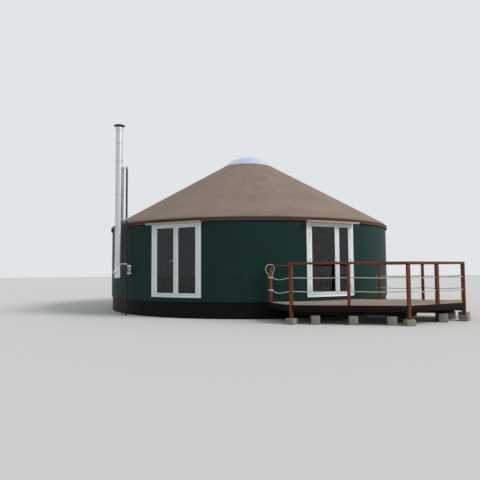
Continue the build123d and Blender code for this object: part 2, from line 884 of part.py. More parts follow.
board_heading = heading(unit(left_post, chamfer_post))
deck_centre = (sum(x for x, y in corner_posts) / 4, sum(y for x, y in corner_posts) / 4)
joist_top = deck_level - board_thickness
deck_joist_bottom = joist_top - deck_joist_depth
joist_count = 2 * int(deck_reach / deck_joist_pitch) + 1
with BuildSketch() as joist_plan:
    with Locations(Location((*deck_centre, 0), (0, 0, board_heading))):
        with GridLocations(deck_joist_pitch, 1, joist_count, 1):
            Rectangle(deck_joist_width, 2 * deck_reach)
    add(deck_outline(deck_edge), mode=Mode.INTERSECT)
with BuildPart() as deck_joists:
    with BuildSketch(Plane.XY.offset(deck_joist_bottom)):
        add(joist_plan.sketch)
    extrude(amount=deck_joist_depth)
keep(deck_joists.part, "deck_joists")

with BuildSketch() as fascia_plan:
    for start, end in zip(edge, edge[1:]):
        side = (unit(start, end)[1], -unit(start, end)[0])
        near, far = deck_edge + seam, deck_edge + seam + fascia_thickness
        with BuildLine():
            Polyline(
                stepped(start, side, near), stepped(end, side, near), stepped(end, side, far),
                stepped(start, side, far), close=True,
            )
        make_face()
    Circle(deck_clear, mode=Mode.SUBTRACT)
    for post, direction in zip(corner_posts, corner_turns):
        with Locations(post):
            Rectangle(post_size + 2 * seam, 4 * post_size, rotation=heading(direction), mode=Mode.SUBTRACT)
with BuildPart() as deck_fascia:
    with BuildSketch(Plane.XY.offset(deck_level - fascia_depth)):
        add(fascia_plan.sketch)
    extrude(amount=fascia_depth)
keep(deck_fascia.part, "deck_fascia")

# Bearers under the joists, and the blocks that carry them and the corner posts
bearer_top = deck_joist_bottom
with BuildSketch() as bearer_plan:
    with Locations(Location((*deck_centre, 0), (0, 0, board_heading))):
        with Locations(*[(0, row) for row in deck_bearer_rows]):
            Rectangle(2 * deck_reach, deck_bearer_width)
    add(deck_outline(deck_edge - bearer_setback), mode=Mode.INTERSECT)
with BuildPart() as deck_bearers:
    with BuildSketch(Plane.XY.offset(block_height)):
        add(bearer_plan.sketch)
    extrude(amount=bearer_top - block_height)
keep(deck_bearers.part, "deck_bearers")

with BuildPart() as deck_blocks:
    with Locations(Location((*deck_centre, block_height / 2), (0, 0, board_heading))):
        for row, places in zip(deck_bearer_rows, block_places):
            with Locations(*[(place, row, 0) for place in places]):
                Box(block_width, block_length, block_height)
    for post, direction in zip(corner_posts, corner_turns):
        with Locations(Location((*post, foot_height / 2), (0, 0, heading(direction)))):
            Box(foot_size, foot_size, foot_height)
keep(deck_blocks.part, "deck_blocks")

# Posts with a hole for each rope, and the handrail over them
rail_top = deck_level + rail_height
rail_bottom = rail_top - rail_thickness
side_rail_top = rail_bottom - seam
side_rail_bottom = side_rail_top - side_rail_thickness


def deck_post(place, direction, bottom, top, drilled):
    x, y = place
    with BuildPart(Plane(origin=(x, y, 0), x_dir=(direction[0], direction[1], 0), z_dir=(0, 0, 1))) as post:
        with Locations((0, 0, (bottom + top) / 2)):
            Box(post_size, post_size, top - bottom)
        if drilled:
            for height in rope_heights:
                with Locations(Location((0, 0, deck_level + height), (0, 90, 0))):
                    Cylinder(rope_hole_radius, 2 * post_size, mode=Mode.SUBTRACT)
    return post.part


post_parts = [
    deck_post(post, turn, foot_height, rail_bottom, True) for post, turn in zip(corner_posts, corner_turns)
]
post_parts += [deck_post(post, turn, deck_level, rail_bottom, True) for post, turn in middle_posts]
post_parts.append(
    deck_post(wall_end_post, unit(wall_end_post, left_post), deck_level, side_rail_bottom, False)
)
keep_together("deck_posts", post_parts)

rail_start = stepped(left_post, unit(chamfer_post, left_post), post_size / 2 + rail_start_overhang)
rail_end = stepped(last_post, unit(rear_post, last_post), rail_overhang)
rail_line = [rail_start, *corner_posts[1:], rail_end]
with BuildPart() as deck_handrail:
    with BuildSketch(Plane.XY.offset(rail_bottom)):
        with BuildLine():
            Polyline(*shifted(rail_line, rail_width / 2), *reversed(shifted(rail_line, -rail_width / 2)), close=True)
        make_face()
        for post, direction in zip(corner_posts[1:], corner_turns[1:]):
            with Locations(post):
                Rectangle(seam, 3 * rail_width, rotation=heading(direction), mode=Mode.SUBTRACT)
    extrude(amount=rail_thickness)

# Thinner rail from the wall's post to the front corner, under the handrail's end
side_rail_start = stepped(wall_end_post, unit(left_post, wall_end_post), wall_end_overhang)
side_line = [side_rail_start, left_post]
with BuildPart() as deck_side_rail:
    with BuildSketch(Plane.XY.offset(side_rail_bottom)):
        with BuildLine():
            Polyline(
                *shifted(side_line, side_rail_width / 2), *reversed(shifted(side_line, -side_rail_width / 2)), close=True
            )
        make_face()
        cut_corner_posts()
    extrude(amount=side_rail_thickness)
keep_together("deck_handrail", [deck_handrail.part, deck_side_rail.part])


# Ropes. Each runs through the posts from a stopper at the last one to a wrap round the one at the wall.
def corner_points(post, direction, height):
    """Route through a corner post: straight in the hole and a little way beyond each mouth."""
    before, after = stepped(post, direction, -rope_mouth), stepped(post, direction, rope_mouth)
    return [(*before, height), (*after, height)]


def sag_point(start, end, height, sag):
    return (*middle(start, end), height - sag)


def rope_route(height, sags, drops):
    """Points of one rope, from the last post to the post at the wall."""
    left, chamfer, right, rear = corner_posts
    left_turn, chamfer_turn, right_turn, rear_turn = [(-x, -y) for x, y in corner_turns]
    start = stepped(last_post, unit(rear_post, last_post), post_size / 2)
    inner = stepped(last_post, unit(last_post, rear_post), rope_mouth)
    wrap_side = post_size / 2 + wrap_thickness + seat
    near_wrap = stepped(wall_end_post, unit(wall_end_post, left_post), wrap_side + wrap_straight)
    end = stepped(wall_end_post, unit(wall_end_post, left_post), wrap_side)
    return [
        (*start, height),
        (*inner, height - 1),
        sag_point(last_post, rear_middle, height, sags[0]),
        (*rear_middle, height + rope_lift),
        sag_point(rear_middle, rear, height, sags[1]),
        *corner_points(rear, rear_turn, height),
        sag_point(rear, right, height, sags[2]),
        *corner_points(right, right_turn, height),
        sag_point(right, chamfer_middle, height, sags[3]),
        (*chamfer_middle, height + rope_lift),
        sag_point(chamfer_middle, chamfer, height, sags[4]),
        *corner_points(chamfer, chamfer_turn, height),
        sag_point(chamfer, front_middle, height, sags[5]),
        (*front_middle, height + rope_lift),
        sag_point(front_middle, left, height, sags[6]),
        *corner_points(left, left_turn, height),
        *[(*stepped(left, unit(left, wall_end_post), run), height - drop) for run, drop in zip(left_runs, drops)],
        (*near_wrap, height - wrap_drop),
        (*end, height - wrap_drop),
    ]


def rope_tube(points):
    """Tube along straight runs joined by arcs as large as the runs allow."""
    vectors = [Vector(*point) for point in points]
    radii = []
    for a, b, c in zip(vectors, vectors[1:], vectors[2:]):
        half_turn = radians((b - a).get_angle(c - b) / 2)
        radii.append(arc_share * min((b - a).length, (c - b).length) / tan(half_turn))
    with BuildPart() as tube:
        with BuildLine() as path:
            FilletPolyline(*vectors, radius=radii)
        route = path.wire()
        with BuildSketch(Plane(origin=route @ 0, z_dir=route % 0)):
            Circle(rope_radius)
        sweep(path=route)
    share = tube.part.volume / (pi * rope_radius**2 * route.length)
    print("rope", round(route.length, 1), "mm, least radius", round(min(radii)), "mm, volume share", round(share, 4))
    return tube.part


upper_height = deck_level + rope_heights[1]
lower_height = deck_level + rope_heights[0]
keep(rope_tube(rope_route(upper_height, upper_sags, upper_drops)), "rope_upper")
keep(rope_tube(rope_route(lower_height, lower_sags, lower_drops)), "rope_lower")

wall_post_plane = Plane(
    origin=(*wall_end_post, 0),
    x_dir=(*unit(wall_end_post, left_post), 0),
    z_dir=(0, 0, 1),
)
with BuildPart(wall_post_plane) as rope_wraps:
    for height in (upper_height, lower_height):
        with Locations((0, 0, height - wrap_drop)):
            Box(post_size + 2 * wrap_thickness, post_size + 2 * wrap_thickness, wrap_height)
            Box(post_size + 2 * seat, post_size + 2 * seat, wrap_height, mode=Mode.SUBTRACT)

last_post_plane = Plane(origin=(*last_post, 0), x_dir=(*unit(rear_post, last_post), 0), z_dir=(0, 0, 1))
with BuildPart(last_post_plane) as rope_stoppers:
    for height in (upper_height, lower_height):
        middle_x = post_size / 2 + seat + stopper_length / 2
        with Locations(Location((middle_x, 0, height), (0, 90, 0))):
            Cylinder(stopper_radius, stopper_length)
keep_together("rope_knots", [rope_wraps.part, rope_stoppers.part])

tail_points = [
    tuple(wall_post_plane.from_local_coords(Vector(x, y, upper_height + z)))
    for x, y, z in tail_route
]
keep(rope_tube(tail_points), "rope_tail")
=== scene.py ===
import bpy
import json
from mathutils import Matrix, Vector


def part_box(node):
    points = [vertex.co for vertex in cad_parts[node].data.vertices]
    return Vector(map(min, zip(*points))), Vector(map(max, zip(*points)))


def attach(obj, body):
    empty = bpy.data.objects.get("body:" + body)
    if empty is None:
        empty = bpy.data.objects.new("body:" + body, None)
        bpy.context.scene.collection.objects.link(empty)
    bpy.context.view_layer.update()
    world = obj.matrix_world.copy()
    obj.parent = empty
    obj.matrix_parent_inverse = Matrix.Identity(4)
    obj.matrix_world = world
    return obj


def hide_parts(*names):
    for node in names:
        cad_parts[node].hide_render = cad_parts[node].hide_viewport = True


bl_info = {
    "name": "Garden Yurt",
    "version": (1, 0, 0),
    "blender": (4, 5, 0),
    "location": "View3D > Sidebar > Yurt",
    "description": "Dresses the yurt's frame with covers, glazed doors, flue, timber deck and rope rails",
    "category": "Add Mesh",
}

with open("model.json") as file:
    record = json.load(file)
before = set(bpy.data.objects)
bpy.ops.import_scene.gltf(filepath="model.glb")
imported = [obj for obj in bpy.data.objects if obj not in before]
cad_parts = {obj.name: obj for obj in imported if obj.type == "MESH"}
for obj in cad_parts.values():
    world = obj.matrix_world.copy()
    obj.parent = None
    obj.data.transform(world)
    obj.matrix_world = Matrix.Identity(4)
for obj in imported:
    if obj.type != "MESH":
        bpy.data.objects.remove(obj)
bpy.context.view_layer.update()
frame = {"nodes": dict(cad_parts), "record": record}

import json
import random
from math import atan2, ceil, cos, degrees, floor, hypot, pi, radians, sin, sqrt, tan

import bmesh
import bpy
from bpy.props import FloatProperty, FloatVectorProperty, PointerProperty
from mathutils import Matrix, Vector, noise

NODES = frame["nodes"]
ROOM = "yurt"

# Places that the pieces share, in metres
WALL_RADIUS = 4.950
EAVE_RADIUS = 4.985
KNEE_HEIGHT = 2.720
KNEE_RADIUS = 0.200
ROOF_PITCH = radians(30)
ROOF_INNER = 0.935
DOOR_HALF_WIDTH = 0.835
DOOR_FACE = sqrt(WALL_RADIUS**2 - DOOR_HALF_WIDTH**2)
FLOOR_LEVEL = 0.575
LEFT_DOOR, RIGHT_DOOR = radians(-117), radians(-63)
COVER_EDGE = 0.871 / 4.926
FLUE_PLACE = Vector((-4.062, -3.420, 0))
DECK_LEVEL = 0.470
POST_SIZE = 0.075
WALL_END_POST = Vector((0.427, -5.065, 0))
LEFT_POST = Vector((0.850, -6.150, 0))
CHAMFER_POST = Vector((3.580, -6.650, 0))
RIGHT_POST = Vector((5.360, -5.680, 0))
REAR_POST = Vector((5.800, -4.750, 0))
LAST_POST = Vector((3.643, -4.155, 0))
REAR_MIDDLE_SHARE = 0.47


def linear(red, green, blue):
    """A screen colour of 0 to 255 as the linear colour that shader nodes take."""
    return tuple(
        (c / 255 / 12.92) if c / 255 <= 0.04045 else ((c / 255 + 0.055) / 1.055) ** 2.4
        for c in (red, green, blue)
    )


def colour(name, description, red, green, blue):
    return FloatVectorProperty(
        name=name, description=description, subtype="COLOR", size=3, min=0, max=1,
        default=linear(red, green, blue),
    )


def length(name, description, default):
    return FloatProperty(
        name=name, description=description, subtype="DISTANCE", unit="LENGTH", default=default, min=0.0005, max=5
    )


class YURT_PG_sizes(bpy.types.PropertyGroup):
    """Sizes that a maker would change."""

    cover_thickness: length("Cover thickness", "Thickness of the wall cover with its lining", 0.014)
    roof_thickness: length("Roof thickness", "Thickness of the roof cover with its lining", 0.010)
    pole_sag: length("Sag between poles", "How far the roof cover dips between two poles", 0.007)
    wall_ripple: length("Wall ripple", "Depth of the soft folds in the wall cover", 0.004)
    seam_width: length("Seam width", "Width of a welded seam", 0.036)
    edge_round: length("Timber edge", "Rounding of sawn timber's edges", 0.003)
    frame_round: length("Frame edge", "Rounding of the door frames' edges", 0.0035)
    bead_width: length("Glazing bead", "Width of the bead round each pane", 0.010)
    plank_width: length("Deck board width", "Width of a deck board", 0.120)
    plank_gap: length("Deck board gap", "Gap between two deck boards", 0.006)
    floor_plank_width: length("Floor board width", "Width of a floor board inside", 0.140)
    rope_diameter: length("Rope diameter", "Diameter of the rail's rope", 0.024)
    rope_lay: length("Rope lay", "Length of one turn of the rope's strands", 0.085)


class YURT_PG_colours(bpy.types.PropertyGroup):
    """Main colours, as they look in plain light."""

    roof: colour("Roof", "Roof cover", 140, 122, 109)
    # Hem: the fabric's own red-brown tint, darkened with painted shade of the hem's vertical fall
    hem: colour("Hem", "Dark band at the eave", 84, 56, 51)
    wall: colour("Wall", "Wall cover", 23, 50, 46)
    lining: colour("Lining", "Cover's inner face", 196, 184, 160)
    # Skirt: a dark membrane, darkened further to near black as painted shade under the wall cover
    skirt: colour("Skirt", "Membrane round the platform", 14, 14, 16)
    plastic: colour("Door frames", "White plastic of the doors", 226, 230, 232)
    # Dome: milky white acrylic, tinted blue as a painted reflection of the sky
    dome: colour("Dome", "Crown's acrylic dome", 190, 208, 238)
    stain: colour("Stained timber", "Posts and rails", 118, 66, 43)
    # Fascia: dark stain, darkened further to near black as painted shade under the deck's edge
    fascia: colour("Fascia", "Planks on the deck's edge", 27, 17, 18)
    deck: colour("Deck boards", "Worn deck boards", 172, 150, 132)
    canopy: colour("Canopies", "Drip boards over the doors", 178, 166, 150)
    rope: colour("Rope", "Rail ropes", 206, 204, 194)
    floor: colour("Floor", "Pale floor of the scene", 214, 212, 208)


def sizes():
    return bpy.context.scene.yurt_sizes


def colours():
    return bpy.context.scene.yurt_colours


# Materials


class Signal:
    """A shader socket that can stand in Python arithmetic."""

    def __init__(self, finish, socket):
        self.finish = finish
        self.socket = socket

    def reckon(self, operation, first, second=None):
        values = {0: first} if second is None else {0: first, 1: second}
        return self.finish.node("ShaderNodeMath", {"operation": operation}, values)

    def __add__(self, other):
        return self.reckon("ADD", self, other)

    def __sub__(self, other):
        return self.reckon("SUBTRACT", self, other)

    def __rsub__(self, other):
        return self.reckon("SUBTRACT", other, self)

    def __mul__(self, other):
        return self.reckon("MULTIPLY", self, other)

    __radd__ = __add__
    __rmul__ = __mul__

    def wave(self):
        return self.reckon("SINE", self)


class Finish:
    """One material: a Principled shader and the nodes that feed it."""

    def __init__(self, name, **fixed):
        self.material = bpy.data.materials.new(name)
        self.material.use_nodes = True
        self.tree = self.material.node_tree
        self.tree.nodes.clear()
        output = self.tree.nodes.new("ShaderNodeOutputMaterial")
        self.shader = self.tree.nodes.new("ShaderNodeBsdfPrincipled")
        self.tree.links.new(self.shader.outputs[0], output.inputs[0])
        self.feed(**fixed)

    def put(self, socket, value):
        """Set or link one socket."""
        if isinstance(value, Signal):
            self.tree.links.new(value.socket, socket)
        elif socket.type == "RGBA" and len(value) == 3:
            socket.default_value = (*value, 1)
        else:
            socket.default_value = value

    def feed(self, **values):
        """Set or link the shader's own sockets, and give the material."""
        for name, value in values.items():
            self.put(self.shader.inputs[name.replace("_", " ")], value)
        return self.material

    def node(self, kind, settings=None, values=None, output=0):
        """Any node: its settings first, then the values or links of its sockets."""
        made = self.tree.nodes.new(kind)
        for key, value in (settings or {}).items():
            setattr(made, key, value)
        for key, value in (values or {}).items():
            self.put(made.inputs[key], value)
        return Signal(self, made.outputs[output])

    def place(self, scale=(1, 1, 1), attribute=None, uv=False):
        """Where a pattern is looked up: Object coordinates, a UV map or a piece's own attribute."""
        if attribute:
            source = self.node("ShaderNodeAttribute", {"attribute_name": attribute}, output=1)
        elif uv:
            source = self.node("ShaderNodeUVMap", {"uv_map": "UVMap"})
        else:
            source = self.node("ShaderNodeTexCoord", output=3)
        return self.node("ShaderNodeMapping", None, {"Vector": source, "Scale": scale})

    def cloud(self, where, scale, detail, roughness=0.6, distortion=0.0):
        return self.node(
            "ShaderNodeTexNoise", None,
            {"Vector": where, "Scale": scale, "Detail": detail, "Roughness": roughness, "Distortion": distortion},
        )

    def ramp(self, value, *stops):
        """Grey levels at places along a value."""
        made = self.node("ShaderNodeValToRGB", None, {0: value})
        elements = made.socket.node.color_ramp.elements
        while len(elements) < len(stops):
            elements.new(0.5)
        for element, (place, shade) in zip(elements, stops):
            element.position = place
            element.color = (shade, shade, shade, 1)
        return made

    def axis(self, where, index):
        return self.node("ShaderNodeSeparateXYZ", None, {0: where}, output=index)

    def mix(self, first, second, share):
        return self.node("ShaderNodeMix", {"data_type": "RGBA"}, {0: share, 6: first, 7: second}, output=2)

    def over(self, base, shade, mask, low, high, amount):
        """The base with a shade laid over it, rising between two levels of a mask."""
        return self.mix(base, shade, self.ramp(mask, (low, 0.0), (high, 1.0)) * amount)

    def bump(self, height, distance, strength=1.0, under=None):
        values = {"Height": height, "Distance": distance, "Strength": strength}
        if under is not None:
            values["Normal"] = under
        return self.node("ShaderNodeBump", None, values)


def tone(shade, factor):
    """A colour made lighter or darker by one factor."""
    return tuple(min(1.0, c * factor) for c in shade)


def canvas(name, shade, streak, roughness):
    """Coated cloth: a fine weave, a soft mottle, rain streaks down the fall and a little sheen."""
    made = Finish(name, Sheen_Weight=0.03, Sheen_Roughness=0.6, Specular_IOR_Level=0.07)
    where = made.place(uv=True)
    mottle = made.cloud(where, 1.3, 5)
    rain = made.cloud(made.place((7, 0.35, 1), uv=True), 1.6, 4)
    base = made.mix(tone(shade, 0.86), tone(shade, 1.14), made.ramp(mottle, (0.3, 0.0), (0.72, 1.0)))
    base = made.over(base, tone(shade, 0.72), rain, 0.5, 0.78, streak)
    base = made.over(base, tone(shade, 1.22), made.cloud(where, 38, 3), 0.55, 0.8, 0.14)
    across, along = ((made.axis(where, i) * 1600).wave() for i in (0, 1))
    weave = made.bump(across * along, 0.0002, 0.35)
    return made.feed(
        Base_Color=base, Roughness=roughness + 0.16 * (mottle - 0.5),
        Normal=made.bump(made.cloud(where, 3.5, 4), 0.006, 0.35, weave),
    )


def timber(name, shade, weather=0.25, roughness=0.62, knots=True, coat=0.0):
    """Sawn wood. The piece's grain attribute holds each member's own length, width and depth."""
    made = Finish(name, Specular_IOR_Level=0.12, Coat_Weight=coat, Coat_Roughness=0.35)

    def stretched(along, across):
        return made.place((along, across, across), attribute="grain")

    fibre = made.cloud(stretched(2.2, 150), 2.0, 3)
    rings = made.cloud(stretched(0.55, 26), 2.6, 4, 0.65, 0.6)
    line = made.ramp(rings, (0.36, 0.0), (0.5, 1.0), (0.64, 0.15))
    broad = made.cloud(stretched(1, 11), 1.7, 6, distortion=0.4)
    base = made.mix(tone(shade, 0.74), tone(shade, 1.18), broad)
    base = made.mix(base, tone(shade, 0.62), line * 0.42)
    grey = sum(shade) / 3
    blotch = made.cloud(stretched(1, 1), 2.1, 4)
    base = made.over(base, (grey * 1.25, grey * 1.2, grey * 1.14), blotch, 0.4, 0.75, weather)
    if knots:
        spots = made.node("ShaderNodeTexVoronoi", None, {"Vector": stretched(2.3, 10), "Scale": 1.0})
        base = made.mix(base, tone(shade, 0.4), made.ramp(spots, (0.0, 1.0), (0.09, 0.75), (0.13, 0.0)) * 0.8)
    rough = made.bump(fibre, 0.0012, 0.6)
    return made.feed(
        Base_Color=base, Roughness=roughness + 0.25 * (fibre - 0.5), Normal=made.bump(line, 0.0012, 0.45, rough)
    )


def moulded(name, shade, roughness=0.34, grime=0.06):
    """Extruded or moulded plastic with faint grime."""
    made = Finish(name, Specular_IOR_Level=0.5)
    where = made.place()
    return made.feed(
        Base_Color=made.over(shade, tone(shade, 0.8), made.cloud(where, 2.4, 5, 0.62), 0.45, 0.8, grime),
        Roughness=roughness + 0.1 * (made.cloud(where, 9, 4) - 0.5),
        Normal=made.bump(made.cloud(where, 40, 2, 0.5), 0.0002, 0.2),
    )


def metal(name, shade, roughness=0.3, metallic=1.0, streaks=0.5):
    """Sheet or tube metal, brushed along Z, with dull patches."""
    made = Finish(name, Metallic=metallic)
    patches = made.cloud(made.place(), 5, 5)
    brush = made.cloud(made.place((60, 60, 1.2)), 2.0, 3)
    return made.feed(
        Base_Color=made.over(shade, tone(shade, 0.62), patches, 0.42, 0.8, streaks),
        Roughness=roughness + 0.08 * (patches - 0.5) + 0.08 * (brush - 0.5),
        Normal=made.bump(brush, 0.0001, 0.2),
    )


def concrete(name):
    made = Finish(name, Specular_IOR_Level=0.3)
    where = made.place()
    mottle = made.cloud(where, 3, 8, 0.65)
    pits = made.cloud(where, 60, 4, 0.7)
    base = made.mix(linear(112, 108, 98), linear(158, 154, 142), mottle)
    return made.feed(
        Base_Color=made.mix(base, linear(92, 90, 80), made.ramp(pits, (0.3, 1.0), (0.42, 0.0)) * 0.6),
        Roughness=0.9 + 0.1 * (mottle - 0.5), Normal=made.bump(pits, 0.003, 0.5),
    )


def rope_fibre(name, shade):
    """Twisted yarn: UV runs along and round each strand."""
    made = Finish(name, Sheen_Weight=0.25, Specular_IOR_Level=0.25)
    where = made.place(uv=True)
    yarn = ((made.axis(where, 0) * 2600 + made.axis(where, 1) * 40).wave() + 1.0) * 0.5
    dirt = made.cloud(made.place(), 4, 5)
    base = made.over(shade, tone(shade, 0.62), dirt, 0.4, 0.75, 0.55)
    return made.feed(
        Base_Color=made.mix(base, tone(shade, 0.7), yarn * 0.3), Roughness=0.85 + 0.1 * (dirt - 0.5),
        Normal=made.bump(yarn, 0.0008, 0.6),
    )


# Panes with a grey tint that darkens the room seen through them: painted shade of the dim interior
def pane_glass(name):
    return Finish(
        name, Base_Color=(0.36, 0.39, 0.39), Roughness=0.012, Transmission_Weight=1.0, IOR=1.38,
        Specular_IOR_Level=0.32,
    ).material


def milky_acrylic(name, shade):
    made = Finish(name, Transmission_Weight=0.08, IOR=1.49, Coat_Weight=0.5, Coat_Roughness=0.08)
    dust = made.cloud(made.place(), 3.2, 6)
    return made.feed(
        Base_Color=made.over(shade, tone(shade, 0.78), dust, 0.45, 0.8, 0.2),
        Roughness=0.26 + 0.12 * made.ramp(dust, (0.4, 0.0), (0.85, 1.0)),
    )


# Each finish: its maker, the name of its colour above or a screen colour, and the maker's other values
FINISHES = {
    "roof_fabric": (canvas, "roof", 0.30, 0.72),
    # The eave band: its dark colour is painted shade of the hem
    "hem_fabric": (canvas, "hem", 0.35, 0.75),
    "wall_fabric": (canvas, "wall", 0.55, 0.58),
    "lining": (canvas, "lining", 0.1, 0.9),
    # The platform's membrane: dark, with painted shade under the wall cover making it near black
    "skirt": (canvas, "skirt", 0.4, 0.55),
    "structural_timber": (timber, (182, 148, 106)),
    "lattice_ash": (timber, (196, 160, 116), 0.1, 0.5, False),
    "floor_boards": (timber, (178, 138, 96), 0.1, 0.42, True, 0.3),
    "deck_boards": (timber, "deck", 0.55, 0.75),
    # The deck's fascia, joists and bearers: dark stain with painted shade under the deck
    "deck_fascia": (timber, "fascia", 0.05, 0.75),
    "stained_timber": (timber, "stain", 0.05, 0.55, True, 0.06),
    "canopy_timber": (timber, "canopy", 0.5, 0.75),
    "white_frame": (moulded, "plastic"),
    "black_trim": (moulded, (22, 22, 24), 0.45, 0.4),
    "gasket": (moulded, (14, 14, 15), 0.6, 0.2),
    "silver_metal": (metal, (205, 207, 211), 0.38, 0.85, 0.10),
    "spacer_metal": (metal, (170, 172, 176), 0.35),
    "handle_metal": (metal, (214, 214, 216), 0.16, 1.0, 0.2),
    "screw_metal": (metal, (120, 116, 110), 0.4),
    "black_metal": (metal, (24, 24, 27), 0.42, 0.0, 0.5),
    # The door panes: their grey tint is painted shade of the room behind
    "door_glass": (pane_glass,),
    # The dome: its blue tint is a painted reflection of the sky
    "dome_acrylic": (milky_acrylic, "dome"),
    "concrete": (concrete,),
    "rope": (rope_fibre, "rope"),
}
MATERIALS = {}


def material(name):
    """A named finish, made the first time that it is asked for."""
    if name not in MATERIALS:
        maker, *values = FINISHES[name]
        if values:
            shade = values[0]
            values[0] = getattr(colours(), shade) if isinstance(shade, str) else linear(*shade)
        MATERIALS[name] = maker(name, *values)
    return MATERIALS[name]


# Shapes


def linked(name, data):
    """A new object in the scene."""
    made = bpy.data.objects.new(name, data)
    bpy.context.scene.collection.objects.link(made)
    return made


def piece_from(bm, name, body, slot, *finishes, crease=32, place=None, stands_for=()):
    """Make a mesh a piece on its body, with its materials, in place of the nodes that it stands for."""
    if place is not None:
        bmesh.ops.transform(bm, matrix=place, verts=bm.verts)
    mesh = bpy.data.meshes.new(name)
    bm.normal_update()
    bm.to_mesh(mesh)
    bm.free()
    piece = linked(name, mesh)
    for finish in finishes or (slot,):
        mesh.materials.append(material(finish))
    mesh.shade_smooth()
    mesh.set_sharp_from_angle(angle=radians(crease))
    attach(piece, body)
    if stands_for:
        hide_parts(*stands_for)
    return piece


def pour(source, target, place=None):
    """Add one bmesh to another, moved by a matrix, and free it."""
    if place is not None:
        bmesh.ops.transform(source, matrix=place, verts=source.verts)
    holder = bpy.data.meshes.new("holder")
    source.to_mesh(holder)
    source.free()
    target.from_mesh(holder)
    bpy.data.meshes.remove(holder)


def block(x0, x1, y0, y1, z0, z1, round_by=0.0, segments=2):
    """A box between two corners, with its edges rounded."""
    bm = bmesh.new()
    bmesh.ops.create_cube(bm, size=1)
    bmesh.ops.scale(bm, vec=(abs(x1 - x0), abs(y1 - y0), abs(z1 - z0)), verts=bm.verts)
    bmesh.ops.translate(bm, vec=((x0 + x1) / 2, (y0 + y1) / 2, (z0 + z1) / 2), verts=bm.verts)
    if round_by:
        round_edges(bm, round_by, segments)
    return bm


def rod(radius, height, sides=24, round_by=0.0):
    """A round bar on the origin, up Z, with rounded rims."""
    bm = bmesh.new()
    bmesh.ops.create_cone(bm, cap_ends=True, segments=sides, radius1=radius, radius2=radius, depth=height)
    bmesh.ops.translate(bm, vec=(0, 0, height / 2), verts=bm.verts)
    if round_by:
        round_edges(bm, round_by, 2, 50)
    return bm


def round_edges(bm, amount, segments=2, sharper_than=30):
    edges = [
        e for e in bm.edges if len(e.link_faces) == 2 and e.calc_face_angle(0) > radians(sharper_than)
    ]
    bmesh.ops.bevel(
        bm, geom=edges, offset=amount, offset_type="OFFSET", segments=segments, profile=0.5,
        affect="EDGES", clamp_overlap=True, material=-1,
    )


def fresh_verts(made):
    """The new vertices among what an extrusion gives."""
    return [v for v in made["geom"] if isinstance(v, bmesh.types.BMVert)]


def pulled(bm, faces, shift):
    """Pull faces out into a solid; its new vertices are given."""
    fresh = fresh_verts(bmesh.ops.extrude_face_region(bm, geom=faces))
    bmesh.ops.translate(bm, vec=shift, verts=fresh)
    return fresh


def thickened(bm, thickness):
    """Make a solid sheet of an open one."""
    bmesh.ops.solidify(bm, geom=bm.faces[:], thickness=thickness)
    bmesh.ops.recalc_face_normals(bm, faces=bm.faces)


def face_outwards(bm, out=None):
    """Turn the faces over unless most of them look along a direction, or else away from Z."""
    def away(face):
        middle = face.calc_center_median()
        return Vector((middle.x, middle.y, 0)) if out is None else Vector(out)

    if sum(face.normal.dot(away(face)) for face in bm.faces) < 0:
        bmesh.ops.reverse_faces(bm, faces=bm.faces)


def moved(points, outwards=0.0, up=0.0):
    """A profile of (radius, height) points, moved."""
    return [(outwards + radius, up + height) for radius, height in points]


def lathe(points, steps, arc=2 * pi):
    """A profile of (radius, height) points spun round Z."""
    bm = bmesh.new()
    rim = [bm.verts.new((r, 0, z)) for r, z in points]
    for a, b in zip(rim, rim[1:]):
        bm.edges.new((a, b))
    bmesh.ops.spin(
        bm, geom=bm.verts[:] + bm.edges[:], cent=(0, 0, 0), axis=(0, 0, 1), angle=arc, steps=steps,
        use_merge=abs(arc - 2 * pi) < 1e-6,
    )
    bmesh.ops.remove_doubles(bm, verts=bm.verts, dist=1e-6)
    bmesh.ops.recalc_face_normals(bm, faces=bm.faces)
    return bm


def reshape(bm, rule):
    """Move each vertex in its plane through Z, by a rule from angle, radius and height to the last two."""
    for vert in bm.verts:
        angle = atan2(vert.co.y, vert.co.x)
        radius, height = rule(angle, hypot(vert.co.x, vert.co.y), vert.co.z)
        vert.co = (cos(angle) * radius, sin(angle) * radius, height)


def round_uv(bm, across, up=lambda point: point.z):
    """UV in metres round Z and up a sheet, unbroken within each face."""
    uv = bm.loops.layers.uv.new("UVMap")
    for face in bm.faces:
        middle = face.calc_center_median()
        centre = atan2(middle.y, middle.x)
        for loop in face.loops:
            angle = atan2(loop.vert.co.y, loop.vert.co.x)
            angle += 2 * pi * round((centre - angle) / (2 * pi))
            loop[uv].uv = (angle * across, up(loop.vert.co))


def round_noise(angle, fineness, height):
    """Noise that closes on itself round Z."""
    return noise.noise(Vector((cos(angle) * fineness, sin(angle) * fineness, height)))


def islands(bm):
    """The separate solids of a mesh, each as its list of vertices."""
    seen, found = set(), []
    for start in bm.verts:
        if start in seen:
            continue
        seen.add(start)
        group, queue = [], [start]
        while queue:
            vert = queue.pop()
            group.append(vert)
            for edge in vert.link_edges:
                other = edge.other_vert(vert)
                if other not in seen:
                    seen.add(other)
                    queue.append(other)
        found.append(group)
    return found


